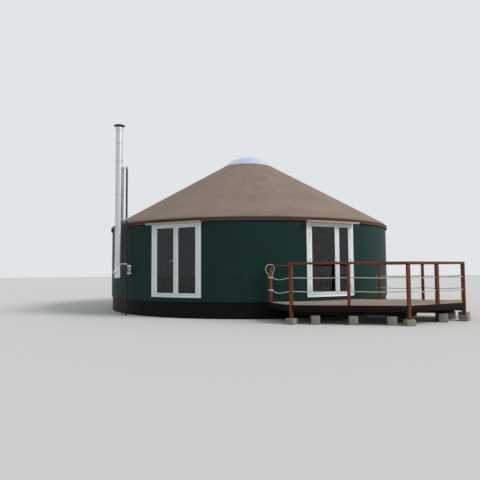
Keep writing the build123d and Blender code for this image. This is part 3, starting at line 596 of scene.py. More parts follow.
def lay_grain(bm, seed=1):
    """Give each solid its own lengthwise coordinates, starting at a random place in the log."""
    layer = bm.verts.layers.float_vector.get("grain") or bm.verts.layers.float_vector.new("grain")
    pick = random.Random(seed)
    for group in islands(bm):
        edges = {e for v in group for e in v.link_edges}
        longest = max(edges, key=lambda e: e.calc_length())
        along = (longest.verts[1].co - longest.verts[0].co).normalized()
        side = along.cross(Vector((0, 0, 1)) if abs(along.z) < 0.9 else Vector((1, 0, 0))).normalized()
        up = side.cross(along)
        start = Vector((pick.uniform(0, 40), pick.uniform(0, 9), pick.uniform(0, 9)))
        for vert in group:
            vert[layer] = start + Vector((vert.co.dot(along), vert.co.dot(side), vert.co.dot(up)))


def merged(node):
    """A frame node's mesh as a closed bmesh whose flat faces are whole."""
    bm = bmesh.new()
    bm.from_mesh(NODES[node].data)
    bmesh.ops.remove_doubles(bm, verts=bm.verts, dist=2e-5)
    bmesh.ops.dissolve_limit(bm, angle_limit=radians(0.7), verts=bm.verts, edges=bm.edges)
    return bm


def body_of_node(node):
    for body, names in frame["record"]["behaviour"]["bodies"].items():
        if node in names:
            return body
    return ROOM


def softened(node, slot, amount, segments=2, grain=True, sharper_than=30):
    """A node's own solids with rounded edges and their grain laid, standing for the node."""
    bm = merged(node)
    round_edges(bm, amount, segments, sharper_than)
    if grain:
        lay_grain(bm, len(node))
    piece_from(bm, f"{node}_finished", body_of_node(node), slot, stands_for=[node])


def frame_at(point, along, across):
    """A matrix with X and Y along two level directions and Z up, at a point."""
    return Matrix.Translation(point) @ Matrix((along, across, (0, 0, 1))).transposed().to_4x4()


def facing(point, direction):
    """A matrix that puts a piece's Z along a direction at a point."""
    return Matrix.Translation(point) @ Vector(direction).to_track_quat("Z", "Y").to_matrix().to_4x4()


def door_place(angle):
    """A door's own frame: X along the door as seen from outside, Y inwards, Z up."""
    out = Vector((cos(angle), sin(angle), 0))
    return frame_at(out * DOOR_FACE, Vector((-sin(angle), cos(angle), 0)), -out)


DOOR_ANGLES = {"left_door": LEFT_DOOR, "right_door": RIGHT_DOOR}
DOORS = {name: door_place(angle) for name, angle in DOOR_ANGLES.items()}
LEAVES = ("left_door_left", "left_door_right", "right_door_main", "right_door_side")


def door_box(node, door):
    """Lowest and highest corner of a node in its door's own frame."""
    back = DOORS[door].inverted()
    points = [back @ v.co for v in NODES[node].data.vertices]
    return (
        Vector([min(p[i] for p in points) for i in range(3)]),
        Vector([max(p[i] for p in points) for i in range(3)]),
    )


def screw(radius=0.005):
    """A domed screw head on the origin, facing up Z."""
    bm = bmesh.new()
    bmesh.ops.create_circle(bm, cap_ends=True, segments=10, radius=radius)
    top = pulled(bm, bm.faces[:], (0, 0, radius * 0.45))
    bmesh.ops.scale(bm, vec=(0.72, 0.72, 1), verts=top)
    bmesh.ops.recalc_face_normals(bm, faces=bm.faces)
    return bm


# Covers

COVER_FOOT, COVER_HEAD = 0.458, 2.797
COVER_ROWS = 26
OVER_DOORS = 2.736
SEAM_PITCH = 1.5
SEAM_HEIGHT = 0.0012
POLES = 36
KNEE_CENTRE = EAVE_RADIUS - KNEE_RADIUS
KNEE_TOP = KNEE_CENTRE + KNEE_RADIUS * sin(ROOF_PITCH)
PLATE_RADIUS = 4.75
HEM_START, HEM_END = 4.9, 4.97

# The band at the eave, from the roof's radius; its dark colour is painted shade
EAVE_BAND = (
    (-0.003, 2.806), (-0.0015, 2.8075), (0.001, 2.806), (0.0025, 2.798), (0.003, 2.775), (0.003, 2.735),
    (0.002, 2.716), (0.0035, 2.7125), (0.0045, 2.708), (0.0035, 2.7035), (0.0, 2.7025), (-0.006, 2.704),
    (-0.009, 2.708), (-0.009, 2.718),
)
STITCHES = 900


def cover_ripple(angle, height):
    """Soft folds of the wall cover: long vertical ones, tighter at the doors, none at the head and foot."""
    span = (height - 0.46) / 2.33
    hold = max(0.0, sin(pi * min(1, max(0, span)))) ** 0.5
    slow = round_noise(angle, 5.2, height * 0.25)
    quick = round_noise(angle, 19, height * 0.5 + 7)
    return (slow * 0.7 + quick * 0.3) * hold


def cover_radius(angle, height):
    """Distance from Z to the wall cover's outer face, with its folds."""
    return WALL_RADIUS - 0.002 - sizes().wall_ripple * (0.5 - 0.5 * cover_ripple(angle, height))


def wall_sheet(name, start, end, bottom, top, rows, stands_for=()):
    """A stretch of the wall cover, with a doubled hem at its foot."""
    line = [(WALL_RADIUS - 0.001, bottom + (top - bottom) * i / rows) for i in range(rows + 1)]
    bm = lathe(line, max(2, ceil(degrees(end - start) / 1.2)), end - start)
    bmesh.ops.rotate(bm, cent=(0, 0, 0), matrix=Matrix.Rotation(start, 3, "Z"), verts=bm.verts)
    hem = bottom + 0.06 if bottom < 0.5 else 0
    reshape(bm, lambda angle, _, height: (cover_radius(angle, height) + (0.0015 if height < hem else 0), height))
    round_uv(bm, WALL_RADIUS)
    face_outwards(bm)
    thickened(bm, sizes().cover_thickness)
    sheet = piece_from(bm, name, ROOM, "wall_fabric", stands_for=stands_for)


def seam_strip(points):
    """A welded seam: a narrow strip that follows a line of (radius, height) points."""
    width = sizes().seam_width
    bm = bmesh.new()
    line = [bm.verts.new((r, -width / 2, z)) for r, z in points]
    for a, b in zip(line, line[1:]):
        bm.edges.new((a, b))
    made = bmesh.ops.extrude_edge_only(bm, edges=bm.edges[:])
    bmesh.ops.translate(bm, vec=(0, width, 0), verts=fresh_verts(made))
    uv = bm.loops.layers.uv.new("UVMap")
    for face in bm.faces:
        for loop in face.loops:
            loop[uv].uv = (loop.vert.co.y, loop.vert.co.z * 1.3 + loop.vert.co.x)
    bmesh.ops.recalc_face_normals(bm, faces=bm.faces)
    face_outwards(bm, (1, 0, 1))
    thickened(bm, SEAM_HEIGHT)
    return bm


class YURT_OT_wall_cover(bpy.types.Operator):
    """Stretch the green cover round the wall, with its welded seams and hem"""

    bl_idname = "yurt.wall_cover"
    bl_label = "Wall cover"

    def execute(self, context):
        gap = COVER_EDGE
        whole = (COVER_FOOT, COVER_HEAD, COVER_ROWS)
        wall_sheet("wall_cloth_front", LEFT_DOOR + gap, RIGHT_DOOR - gap, *whole, ["wall_cover_front"])
        wall_sheet("wall_cloth_sides", RIGHT_DOOR + gap, LEFT_DOOR - gap + 2 * pi, *whole, ["wall_cover_sides"])
        for name, angle in DOOR_ANGLES.items():
            wall_sheet(f"wall_cloth_over_{name}", angle - gap, angle + gap, OVER_DOORS, COVER_HEAD, 4)
            wall_sheet(f"wall_cloth_under_{name}", angle - gap, angle + gap, COVER_FOOT, FLOOR_LEVEL - 0.0005, 2)
        seams = bmesh.new()
        turn = SEAM_PITCH / WALL_RADIUS
        low, span = COVER_FOOT + 0.003, COVER_HEAD - COVER_FOOT - 0.006
        heights = [low + span * k / COVER_ROWS for k in range(COVER_ROWS + 1)]
        for i in range(floor(2 * pi / turn)):
            angle = RIGHT_DOOR + gap + 0.16 + i * turn
            apart = [(angle - door) % (2 * pi) for door in DOOR_ANGLES.values()]
            if min(min(a, 2 * pi - a) for a in apart) >= gap + 0.02:
                line = [(cover_radius(angle, height) + 0.0002, height) for height in heights]
                pour(seam_strip(line), seams, Matrix.Rotation(angle, 4, "Z"))
        piece_from(seams, "wall_seams", ROOM, "wall_fabric")
        return {"FINISHED"}


def roof_profile():
    """Outer line of the roof cover, from the crown down the straight slope and round the knee."""
    start, foot = ROOF_INNER + 0.002, KNEE_HEIGHT + KNEE_RADIUS * cos(ROOF_PITCH)
    slope = [start + (KNEE_TOP - start) * i / 24 for i in range(25)]
    points = [(radius, foot + (KNEE_TOP - radius) * tan(ROOF_PITCH)) for radius in slope]
    for i in range(1, 11):
        angle = (pi / 2 - ROOF_PITCH) * (1 - i / 10)
        points.append((KNEE_CENTRE + KNEE_RADIUS * cos(angle), KNEE_HEIGHT + KNEE_RADIUS * sin(angle)))
    return points + [(EAVE_RADIUS, KNEE_HEIGHT - 0.001)]


def sunk(angle, radius, height):
    """Where a point of the roof's profile lies once the cover sags between poles and puckers near the eave."""
    share = min(1, max(0, (radius - ROOF_INNER) / (PLATE_RADIUS - ROOF_INNER)))
    between = 0.5 + 0.5 * cos(POLES * angle)
    dip = sizes().pole_sag * between * sin(pi * share) ** 0.7 * (0.4 + 0.6 * share)
    near_eave = max(0, 1 - abs(radius - 4.72) / 0.42)
    dip += 0.003 * near_eave * (0.5 + 0.5 * round_noise(angle, 30, radius * 2))
    inward = sin(ROOF_PITCH) * dip * (1 if radius < HEM_START else 2)
    return radius - inward, height - (cos(ROOF_PITCH) * dip if radius < HEM_END else 0)


def band_wave(angle):
    """How far the band at the eave stands off its circle."""
    return 0.0015 * round_noise(angle, 26, 1)


class YURT_OT_roof_cover(bpy.types.Operator):
    """Lay the taupe cover over the poles, with its gore seams and the band at the eave, darkened with painted shade
    """

    bl_idname = "yurt.roof_cover"
    bl_label = "Roof cover"

    def execute(self, context):
        def down_slope(point):
            radius = hypot(point.x, point.y)
            return -(radius / cos(ROOF_PITCH)) + (point.z if radius > HEM_START else 0)

        profile = roof_profile()
        bm = lathe(profile, 288)
        reshape(bm, sunk)
        round_uv(bm, 3.2, down_slope)
        face_outwards(bm, (0, 0, 1))
        thickened(bm, sizes().roof_thickness)
        cloth = piece_from(
            bm, "roof_cloth", ROOM, "roof_fabric", crease=50, stands_for=["roof_cover_front", "roof_cover_back"]
        )

        seams = bmesh.new()
        for i in range(12):
            angle = radians(5 + 30 * i)
            line = moved([sunk(angle, *point) for point in profile], 0.0004, 0.0004)
            pour(seam_strip(line[:-2]), seams, Matrix.Rotation(angle, 4, "Z"))
        piece_from(seams, "roof_seams", ROOM, "roof_fabric")

        band = lathe(moved(EAVE_BAND, EAVE_RADIUS), 360)
        reshape(band, lambda angle, radius, height: (radius + band_wave(angle), height))
        round_uv(band, EAVE_RADIUS)
        face_outwards(band)
        bmesh.ops.solidify(band, geom=band.faces[:], thickness=0.0015)
        piece_from(band, "eave_band", ROOM, "hem_fabric", stands_for=["roof_hem"])

        stitches = bmesh.new()
        for height, proud in ((2.794, 0.0026), (2.724, 0.0023)):
            for i in range(STITCHES):
                angle = 2 * pi * i / STITCHES
                spot = Matrix.Translation((EAVE_RADIUS + proud + band_wave(angle), 0, height))
                stitch = block(-0.0007, 0.0008, -0.010, 0.010, -0.0008, 0.0008)
                pour(stitch, stitches, Matrix.Rotation(angle, 4, "Z") @ spot)
        piece_from(stitches, "eave_stitching", ROOM, "hem_fabric", "lining")
        return {"FINISHED"}


class YURT_OT_crown(bpy.types.Operator):
    """Spin the acrylic dome and its flanged rim, and screw it down"""

    bl_idname = "yurt.crown"
    bl_label = "Crown and dome"

    def execute(self, context):
        low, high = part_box("dome")
        base, rise, reach = low.z, high.z - low.z, (high.x - low.x) / 2
        sphere = (reach**2 + rise**2) / (2 * rise)
        half = atan2(reach, sphere - rise)
        arc = [(sphere * sin(half * i / 20), base + rise - sphere + sphere * cos(half * i / 20)) for i in range(21)]
        thick = 0.006
        inner = [((sphere - thick) / sphere * r, z - thick * (1 - i / 26)) for i, (r, z) in enumerate(arc)]
        foot = [(reach - 0.001, base + 0.004), (reach, base), (reach - 0.010, base)]
        shell = [(0, arc[0][1]), *arc[1:-1], *foot, *inner[-2:0:-1], (0, arc[0][1] - thick)]
        piece_from(lathe(shell, 96), "crown_dome", ROOM, "dome_acrylic", stands_for=["dome"])

        rim_low, rim_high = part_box("dome_rim")
        foot, head = rim_low.z, rim_high.z
        flange = [
            (-0.050, foot), (-0.050, head - 0.004), (-0.046, head), (-0.006, head), (-0.002, head - 0.002),
            (0.0, head - 0.007), (0.0, foot), (-0.050, foot),
        ]
        rim = lathe(moved(flange, (rim_high.x - rim_low.x) / 2), 96)
        piece_from(rim, "crown_rim", ROOM, "white_frame", stands_for=["dome_rim"])
        heads = bmesh.new()
        for i in range(24):
            angle = 2 * pi * i / 24
            spot = Vector((cos(angle) * (reach - 0.012), sin(angle) * (reach - 0.012), base + 0.0085))
            pour(screw(0.006), heads, facing(spot, (cos(angle) * 0.75, sin(angle) * 0.75, 1)))
        piece_from(heads, "dome_screws", ROOM, "silver_metal", "screw_metal")
        softened("crown", "structural_timber", 0.004)
        return {"FINISHED"}


# Timber inside the covers

LATTICE_FACE = WALL_RADIUS - 0.0485
LATTICE_FOOT = 0.592
LATTICE_RISE = 0.2156
LATTICE_ROWS, LATTICE_COLUMNS = 11, 5


class YURT_OT_timber_frame(bpy.types.Operator):
    """Round the edges of the platform's, wall's and roof's timber and bolt the lattice"""

    bl_idname = "yurt.timber_frame"
    bl_label = "Platform, lattice and poles"

    def execute(self, context):
        edge = sizes().edge_round
        for node in ("floor_bearers", "floor_joists", "wall_plate", "roof_poles", "door_studs"):
            softened(node, "structural_timber", edge, 1)
        # The deck's joists and bearers take the fascia's near-black finish as painted shade under the deck
        for node in ("deck_joists", "deck_bearers"):
            softened(node, "deck_fascia", edge, 1)
        for node in ("base_pads", "deck_blocks"):
            softened(node, "concrete", 0.008)
        bolts = bmesh.new()
        for node in [n for n in NODES if n.startswith("wall_lattice")]:
            laths = merged(node)
            for panel in islands(laths):
                angles = sorted(atan2(v.co.y, v.co.x) for v in panel)
                if angles[-1] - angles[0] > pi:
                    angles = sorted(a % (2 * pi) for a in angles)
                start, span = angles[0], angles[-1] - angles[0]
                for row in range(LATTICE_ROWS):
                    height = LATTICE_FOOT + LATTICE_RISE * row
                    for i in range(row % 2, LATTICE_COLUMNS):
                        angle = start + span * (i + (0 if row % 2 else 0.5)) / LATTICE_COLUMNS
                        crossing = Vector((cos(angle), sin(angle), 0))
                        spot = crossing * LATTICE_FACE + Vector((0, 0, height))
                        pour(screw(0.007), bolts, facing(spot, -crossing))
            lay_grain(laths, 5)
            piece_from(laths, f"{node}_laths", ROOM, "lattice_ash", stands_for=[node])
        piece_from(bolts, "lattice_bolts", ROOM, "silver_metal", "screw_metal")
        return {"FINISHED"}


def top_planks(node, name, slot, heading, width, gap, depth, joint, seed, round_by):
    """A node's top face sawn into boards, each cut to length, thickened and with worn edges."""
    whole = merged(node)
    top = max(v.co.z for v in whole.verts)
    spare = [f for f in whole.faces if f.normal.z < 0.9 or f.calc_center_median().z < top - 0.001]
    bmesh.ops.delete(whole, geom=spare, context="FACES")
    along = Vector((cos(heading), sin(heading), 0))
    across = Vector((-sin(heading), cos(heading), 0))
    reach = [v.co.dot(across) for v in whole.verts]
    runs = [v.co.dot(along) for v in whole.verts]
    pick = random.Random(seed)
    boards = bmesh.new()
    for i in range(ceil((max(reach) - min(reach)) / width)):
        near = min(reach) + i * width
        cuts = [min(runs) - 1 + pick.uniform(0, joint)]
        while cuts[-1] < max(runs):
            cuts.append(cuts[-1] + joint)
        for first, last in zip([min(runs) - 2] + cuts, cuts):
            board = whole.copy()
            sides = (
                (across * (near + gap / 2), -across), (across * (near + width - gap / 2), across),
                (along * (first + gap / 3), -along), (along * (last - gap / 3), along),
            )
            for point, outside in sides:
                bmesh.ops.bisect_plane(
                    board, geom=board.verts[:] + board.edges[:] + board.faces[:], dist=1e-6, plane_co=point,
                    plane_no=outside, clear_outer=True,
                )
            if board.faces:
                pulled(board, board.faces[:], (0, 0, -depth))
                bmesh.ops.recalc_face_normals(board, faces=board.faces)
                bmesh.ops.translate(board, vec=(0, 0, pick.uniform(-0.0012, 0)), verts=board.verts)
                pour(board, boards)
            else:
                board.free()
    whole.free()
    round_edges(boards, round_by)
    lay_grain(boards, seed)
    piece_from(boards, name, ROOM, slot, stands_for=[node])


class YURT_OT_floors(bpy.types.Operator):
    """Saw the floor and the deck into boards, and hang the membrane round the platform"""

    bl_idname = "yurt.floors"
    bl_label = "Floor and deck boards"

    def execute(self, context):
        size = sizes()
        top_planks(
            "floor_deck", "floor_planks", "floor_boards", radians(90), width=size.floor_plank_width, gap=0.0015,
            depth=0.039, joint=2.4, seed=3, round_by=0.0012,
        )
        front = CHAMFER_POST - LEFT_POST
        top_planks(
            "deck_boards", "deck_planks", "deck_boards", atan2(front.y, front.x), width=size.plank_width,
            gap=size.plank_gap, depth=0.027, joint=3.2, seed=8, round_by=0.003,
        )
        low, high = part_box("base_skirt")
        tall = high.z - low.z

        def folded(angle, _, height):
            share = (height - low.z) / tall
            return WALL_RADIUS - 0.036 + 0.010 * round_noise(angle, 24, share) * (1 - 0.6 * share), height

        bm = lathe([(WALL_RADIUS - 0.0265, low.z + tall * i / 8) for i in range(9)], 240)
        reshape(bm, folded)
        round_uv(bm, WALL_RADIUS)
        thickened(bm, 0.003)
        piece_from(bm, "platform_membrane", ROOM, "skirt", stands_for=["base_skirt"])
        return {"FINISHED"}


# Ropes


def unit(start, end):
    return (end - start).normalized()
ROPE_HEIGHTS = {"rope_upper": DECK_LEVEL + 0.668, "rope_lower": DECK_LEVEL + 0.332}
ROPE_SAGS = {
    "rope_upper": (0.022, 0.022, 0.018, 0.014, 0.016, 0.012, 0.012),
    "rope_lower": (0.026, 0.024, 0.018, 0.016, 0.018, 0.014, 0.012),
}
LEFT_RUNS = (0.450, 0.800)
LEFT_DROPS = {"rope_upper": (0.046, 0.066), "rope_lower": (0.056, 0.080)}
ROPE_MOUTH = 0.085
ROPE_LIFT = 0.004
WRAP_SIDE = 0.0638
WRAP_DROP = 0.012
WRAP_STRAIGHT = 0.070

# Spare end of the upper rope over the head of the post at the wall: along the rail, across it, up
TAIL_ROUTE = (
    (0.000, -0.0505, 0.0183),
    (0.000, -0.0505, 0.062),
    (-0.006, -0.104, 0.112),
    (-0.010, -0.140, 0.178),
    (-0.010, -0.140, 0.246),
    (-0.006, -0.112, 0.306),
    (-0.002, -0.058, 0.3405),
    (0.002, 0.052, 0.3415),
    (0.006, 0.098, 0.312),
    (0.009, 0.110, 0.256),
    (0.008, 0.100, 0.190),
    (0.005, 0.074, 0.120),
    (0.000, 0.0505, 0.062),
    (0.000, 0.0505, 0.0183),
)


def rail_route(rope):
    """One rail rope's points, from the stopper at the last post to the wrap at the wall's post.

    Past each corner post a point on the long straight run keeps the line close to it.
    """
    up = Vector((0, 0, ROPE_HEIGHTS[rope]))
    posts = [LAST_POST, REAR_POST, RIGHT_POST, CHAMFER_POST, LEFT_POST, WALL_END_POST]
    stops = [
        LAST_POST, REAR_POST.lerp(LAST_POST, REAR_MIDDLE_SHARE), REAR_POST, RIGHT_POST,
        (CHAMFER_POST + RIGHT_POST) / 2, CHAMFER_POST, (LEFT_POST + CHAMFER_POST) / 2, LEFT_POST,
    ]
    dips = [(a + b) / 2 + up - Vector((0, 0, drop)) for a, b, drop in zip(stops, stops[1:], ROPE_SAGS[rope])]
    for run, drop in zip(LEFT_RUNS, LEFT_DROPS[rope]):
        dips.append(LEFT_POST + unit(LEFT_POST, WALL_END_POST) * run + up - Vector((0, 0, drop)))
    points = [
        LAST_POST + unit(REAR_POST, LAST_POST) * POST_SIZE / 2 + up,
        LAST_POST + unit(LAST_POST, REAR_POST) * ROPE_MOUTH + up - Vector((0, 0, 0.001)),
    ]
    for stop, dip, following in zip(stops[1:], dips, dips[1:]):
        points.append(dip)
        if stop in posts:
            i = posts.index(stop)
            turn = (unit(posts[i - 1], stop) + unit(stop, posts[i + 1])).normalized() * ROPE_MOUTH
            near, far = stop - turn + up, stop + turn + up
            points += [near + unit(near, dip) * 2 * ROPE_MOUTH, near, far]
            if stop != LEFT_POST:
                points.append(far + unit(far, following) * 2 * ROPE_MOUTH)
        else:
            points.append(stop + up + Vector((0, 0, ROPE_LIFT)))
    wrap = WALL_END_POST + up - Vector((0, 0, WRAP_DROP))
    from_wall = unit(WALL_END_POST, LEFT_POST)
    return [*points, *dips[-2:], wrap + from_wall * (WRAP_SIDE + WRAP_STRAIGHT), wrap + from_wall * WRAP_SIDE]


def smooth_line(points):
    """Places along the NURBS spline that has a route's points as its control points."""
    curve = bpy.data.curves.new("route", "CURVE")
    curve.dimensions = "3D"
    curve.resolution_u = 10
    spline = curve.splines.new("NURBS")
    spline.points.add(len(points) - 1)
    for held, place in zip(spline.points, points):
        held.co = (*place, 1)
    spline.order_u = 3
    spline.use_endpoint_u = True
    holder = linked("route", curve)
    bpy.context.view_layer.update()
    mesh = bpy.data.meshes.new_from_object(holder)
    line = [v.co.copy() for v in mesh.vertices]
    bpy.data.objects.remove(holder)
    bpy.data.curves.remove(curve)
    bpy.data.meshes.remove(mesh)
    return line


def evenly(line, step):
    """The same line with its places a step apart."""
    places, spare = [line[0]], 0.0
    for start, end in zip(line, line[1:]):
        run = (end - start).length
        reached = step - spare
        while reached <= run:
            places.append(start.lerp(end, reached / run))
            reached += step
        spare = run - (reached - step)
    if (places[-1] - line[-1]).length > step * 0.3:
        places.append(line[-1])
    else:
        places[-1] = line[-1]
    return places


def carried(line):
    """Each place on a line, with two directions across it that don't twist, and the way so far."""
    side = (line[1] - line[0]).orthogonal().normalized()
    way = 0.0
    for i, place in enumerate(line):
        ahead = (line[min(i + 1, len(line) - 1)] - line[max(i - 1, 0)]).normalized()
        side = (side - ahead * side.dot(ahead)).normalized()
        way += (place - line[i - 1]).length if i else 0.0
        yield place, side, ahead.cross(side), way


def strand(bm, line, radius, sides=7):
    """A closed round tube on a line, with a UV of metres along it and round it."""
    uv = bm.loops.layers.uv.get("UVMap") or bm.loops.layers.uv.new("UVMap")
    turns = [2 * pi * k / sides for k in range(sides)]
    rings, ways = [], []
    for place, side, other, way in carried(line):
        rings.append([bm.verts.new(place + (side * cos(t) + other * sin(t)) * radius) for t in turns])
        ways.append(way)
    for i, (first, second) in enumerate(zip(rings, rings[1:])):
        for k in range(sides):
            j = (k + 1) % sides
            face = bm.faces.new((first[k], first[j], second[j], second[k]))
            for loop, run, turn in zip(face.loops, (i, i, i + 1, i + 1), (k, k + 1, k + 1, k)):
                loop[uv].uv = (ways[run], turn / sides * 2 * pi * radius)
    bm.faces.new(rings[0][::-1])
    bm.faces.new(rings[-1])


def laid_rope(bm, line, diameter, lay):
    """Three strands twisted round a line."""
    strand_radius = diameter * 0.233
    offset = diameter / 2 - strand_radius
    line = evenly(line, lay / 12)
    strands = [[], [], []]
    for place, side, other, way in carried(line):
        for k, one in enumerate(strands):
            turn = 2 * pi * (way / lay + k / 3)
            one.append(place + (side * cos(turn) + other * sin(turn)) * offset)
    for one in strands:
        strand(bm, one, strand_radius)
    return line


class YURT_OT_ropes(bpy.types.Operator):
    """Reeve the two rail ropes through the posts, tie them off and hang the spare end"""

    bl_idname = "yurt.ropes"
    bl_label = "Rail ropes"

    def execute(self, context):
        size = sizes()
        along, out = unit(WALL_END_POST, LEFT_POST), unit(REAR_POST, LAST_POST)
        post = frame_at(WALL_END_POST, along, (-along.y, along.x, 0))
        stopper = frame_at(LAST_POST + out * (POST_SIZE / 2 + 0.0233), out, (-out.y, out.x, 0))
        routes = {name: rail_route(name) for name in ROPE_HEIGHTS}
        routes["rope_tail"] = [post @ Vector((x, y, ROPE_HEIGHTS["rope_upper"] + z)) for x, y, z in TAIL_ROUTE]
        for name, points in routes.items():
            bm = bmesh.new()
            line = laid_rope(bm, smooth_line(points), size.rope_diameter, size.rope_lay)
            piece = piece_from(bm, f"{name}_laid", ROOM, "rope", crease=60, stands_for=[name])
            tuple(points[0])
            [tuple(p) for p in line]

        knots = bmesh.new()
        for height in ROPE_HEIGHTS.values():
            wrap = []
            for i in range(105):
                turn = 2 * pi * (2.25 * i / 104) - 0.3
                square = (abs(cos(turn)) ** 8 + abs(sin(turn)) ** 8) ** (1 / 8)
                reach = (POST_SIZE / 2 + size.rope_diameter / 2 + 0.0008) / square
                slide = -0.018 + 0.036 * i / 104
                wrap.append(post @ Vector((cos(turn) * reach, sin(turn) * reach, height - WRAP_DROP + slide)))
            laid_rope(knots, wrap, size.rope_diameter * 0.94, size.rope_lay)
            ball = []
            for i in range(61):
                t = 2 * pi * i / 61 + 0.4
                across, rise = (sin(t) + 2 * sin(2 * t)) * 0.0052, (cos(t) - 2 * cos(2 * t)) * 0.0052
                ball.append(stopper @ Vector((sin(3 * t) * 0.0095, across, height + rise)))
            laid_rope(knots, ball, size.rope_diameter * 0.9, size.rope_lay)
        piece_from(knots, "rope_knots_tied", ROOM, "rope", crease=60, stands_for=["rope_knots"])
        return {"FINISHED"}


class YURT_OT_deck_rail(bpy.types.Operator):
    """Ease the edges of the deck's posts, handrail and fascia"""

    bl_idname = "yurt.deck_rail"
    bl_label = "Deck posts and rail"

    def execute(self, context):
        softened("deck_posts", "stained_timber", 0.004)
        softened("deck_handrail", "stained_timber", 0.006, 3)
        softened("deck_fascia", "deck_fascia", 0.003)
        return {"FINISHED"}


# Doors

LEAF_DEPTH = 0.056
PANE_DEPTHS = (0.016, 0.036)
PANE_THICKNESS = 0.004
LEVER_LINE = (
    (0, 0), (0.0085, 0), (0.0098, 0.010), (0.0092, 0.055), (0.0083, 0.100), (0.0079, 0.1135), (0.0060, 0.1180),
    (0, 0.1195),
)
LEVER_REACH = 0.0485


def moulding(low, high, profile):
    """A mitred frame: a closed profile of (inset, depth) points carried round a box's front."""
    bm = bmesh.new()
    inset, depth = profile[0]
    left, right, foot, head = low.x + inset, high.x - inset, low.z + inset, high.z - inset
    loop = [bm.verts.new((x, depth, z)) for x, z in ((left, foot), (right, foot), (right, head), (left, head))]
    edges = [bm.edges.new((a, b)) for a, b in zip(loop, loop[1:] + loop[:1])]
    middle = (low + high) / 2
    for old, new in zip(profile, profile[1:] + profile[:1]):
        fresh = set(fresh_verts(bmesh.ops.extrude_edge_only(bm, edges=edges)))
        for vert in fresh:
            vert.co.x += (new[0] - old[0]) * (1 if vert.co.x < middle.x else -1)
            vert.co.z += (new[0] - old[0]) * (1 if vert.co.z < middle.z else -1)
            vert.co.y = new[1]
        edges = [e for e in bm.edges if e.verts[0] in fresh and e.verts[1] in fresh]
    bmesh.ops.remove_doubles(bm, verts=bm.verts, dist=1e-6)
    bmesh.ops.recalc_face_normals(bm, faces=bm.faces)
    return bm


def sill_plate():
    """The white flashing that covers the floor's round edge before a door's straight frame."""
    bm = bmesh.new()
    reach = DOOR_HALF_WIDTH - 0.004
    spots = [reach * (i / 12 - 1) for i in range(25)]
    rim = [(x, DOOR_FACE - sqrt((WALL_RADIUS - 0.001)**2 - x**2)) for x in spots]
    outline = [(-reach, -0.0005), *rim, (reach, -0.0005)]
    face = bm.faces.new([bm.verts.new((x, y, FLOOR_LEVEL + 0.0004)) for x, y in outline])
    pulled(bm, [face], (0, 0, 0.003))
    bmesh.ops.recalc_face_normals(bm, faces=bm.faces)
    return bm


def glaze(leaf, door):
    """Beads, gaskets, two panes and their spacer in place of a leaf's plain pane."""
    node = f"{leaf}_glass"
    body = body_of_node(node)
    low, high = door_box(node, door)
    place = DOORS[door]
    bead = sizes().bead_width
    plastic = (
        (-0.0004, 0.0155), (-0.0004, 0.001), (0.0016, 0.0004), (bead * 0.45, 0.003), (bead, 0.0095), (bead, 0.0155)
    )
    rubber = ((bead * 0.5, 0.0157), (bead - 0.001, 0.0105), (bead + 0.0035, 0.0115), (bead + 0.0035, 0.0157))
    bar = [(0.001, 0.0205), (0.001, 0.0355), (bead + 0.0015, 0.0355), (bead + 0.0015, 0.0205)]
    beads, gaskets, panes = bmesh.new(), bmesh.new(), bmesh.new()
    for face, into in ((0.0, 1), (LEAF_DEPTH, -1)):
        for line, target in ((plastic, beads), (rubber, gaskets)):
            pour(moulding(low, high, [(inset, face + into * depth) for inset, depth in line]), target)
    for depth in PANE_DEPTHS:
        pour(block(low.x, high.x, depth, depth + PANE_THICKNESS, low.z, high.z, 0.0006, 1), panes)
    piece_from(beads, f"{leaf}_beads", body, "white_frame", place=place)
    piece_from(gaskets, f"{leaf}_gaskets", body, "black_trim", "gasket", place=place)
    piece_from(panes, f"{leaf}_panes", body, "door_glass", place=place, stands_for=[node])
    piece_from(moulding(low, high, bar), f"{leaf}_spacer", body, "silver_metal", "spacer_metal", place=place)


def lever_handle(leaf, door):
    """A plate, a sprung lever and a key cylinder on both faces of a leaf."""
    node = f"{leaf}_handle"
    low, high = door_box(node, door)
    spindle, height = high.x - 0.015, (low.z + high.z) / 2
    bm = bmesh.new()
    for face, out in ((0.0, -1), (LEAF_DEPTH, 1)):
        def at(depth, rise=0.0):
            return spindle, face + out * depth, height + rise

        def outwards(depth, rise=0.0):
            return facing(at(depth, rise), (0, out, 0))

        proud = face + out * 0.008
        pour(block(spindle - 0.015, spindle + 0.015, face, proud, height - 0.110, height + 0.110, 0.005, 3), bm)
        pour(rod(0.0125, 0.007, 28, 0.0015), bm, outwards(0.008))
        pour(rod(0.0095, 0.045), bm, outwards(0.008))
        lever = lathe(LEVER_LINE, 20)
        bmesh.ops.scale(lever, vec=(1, 0.85, 1), verts=lever.verts)
        pour(lever, bm, facing(at(LEVER_REACH), (-1, 0, 0)))
        knuckle = bmesh.new()
        bmesh.ops.create_uvsphere(knuckle, u_segments=20, v_segments=12, radius=0.0102)
        pour(knuckle, bm, Matrix.Translation(at(LEVER_REACH)))
        for drop, radius in ((0.072, 0.0085), (0.080, 0.0050)):
            pour(rod(radius, 0.010, 20, 0.0008), bm, outwards(0.0, -drop))
        for rise in (0.098, -0.098):
            pour(screw(0.004), bm, outwards(0.0078, rise))
    piece_from(bm, f"{leaf}_lever", body_of_node(node), "handle_metal", place=DOORS[door], stands_for=[node])


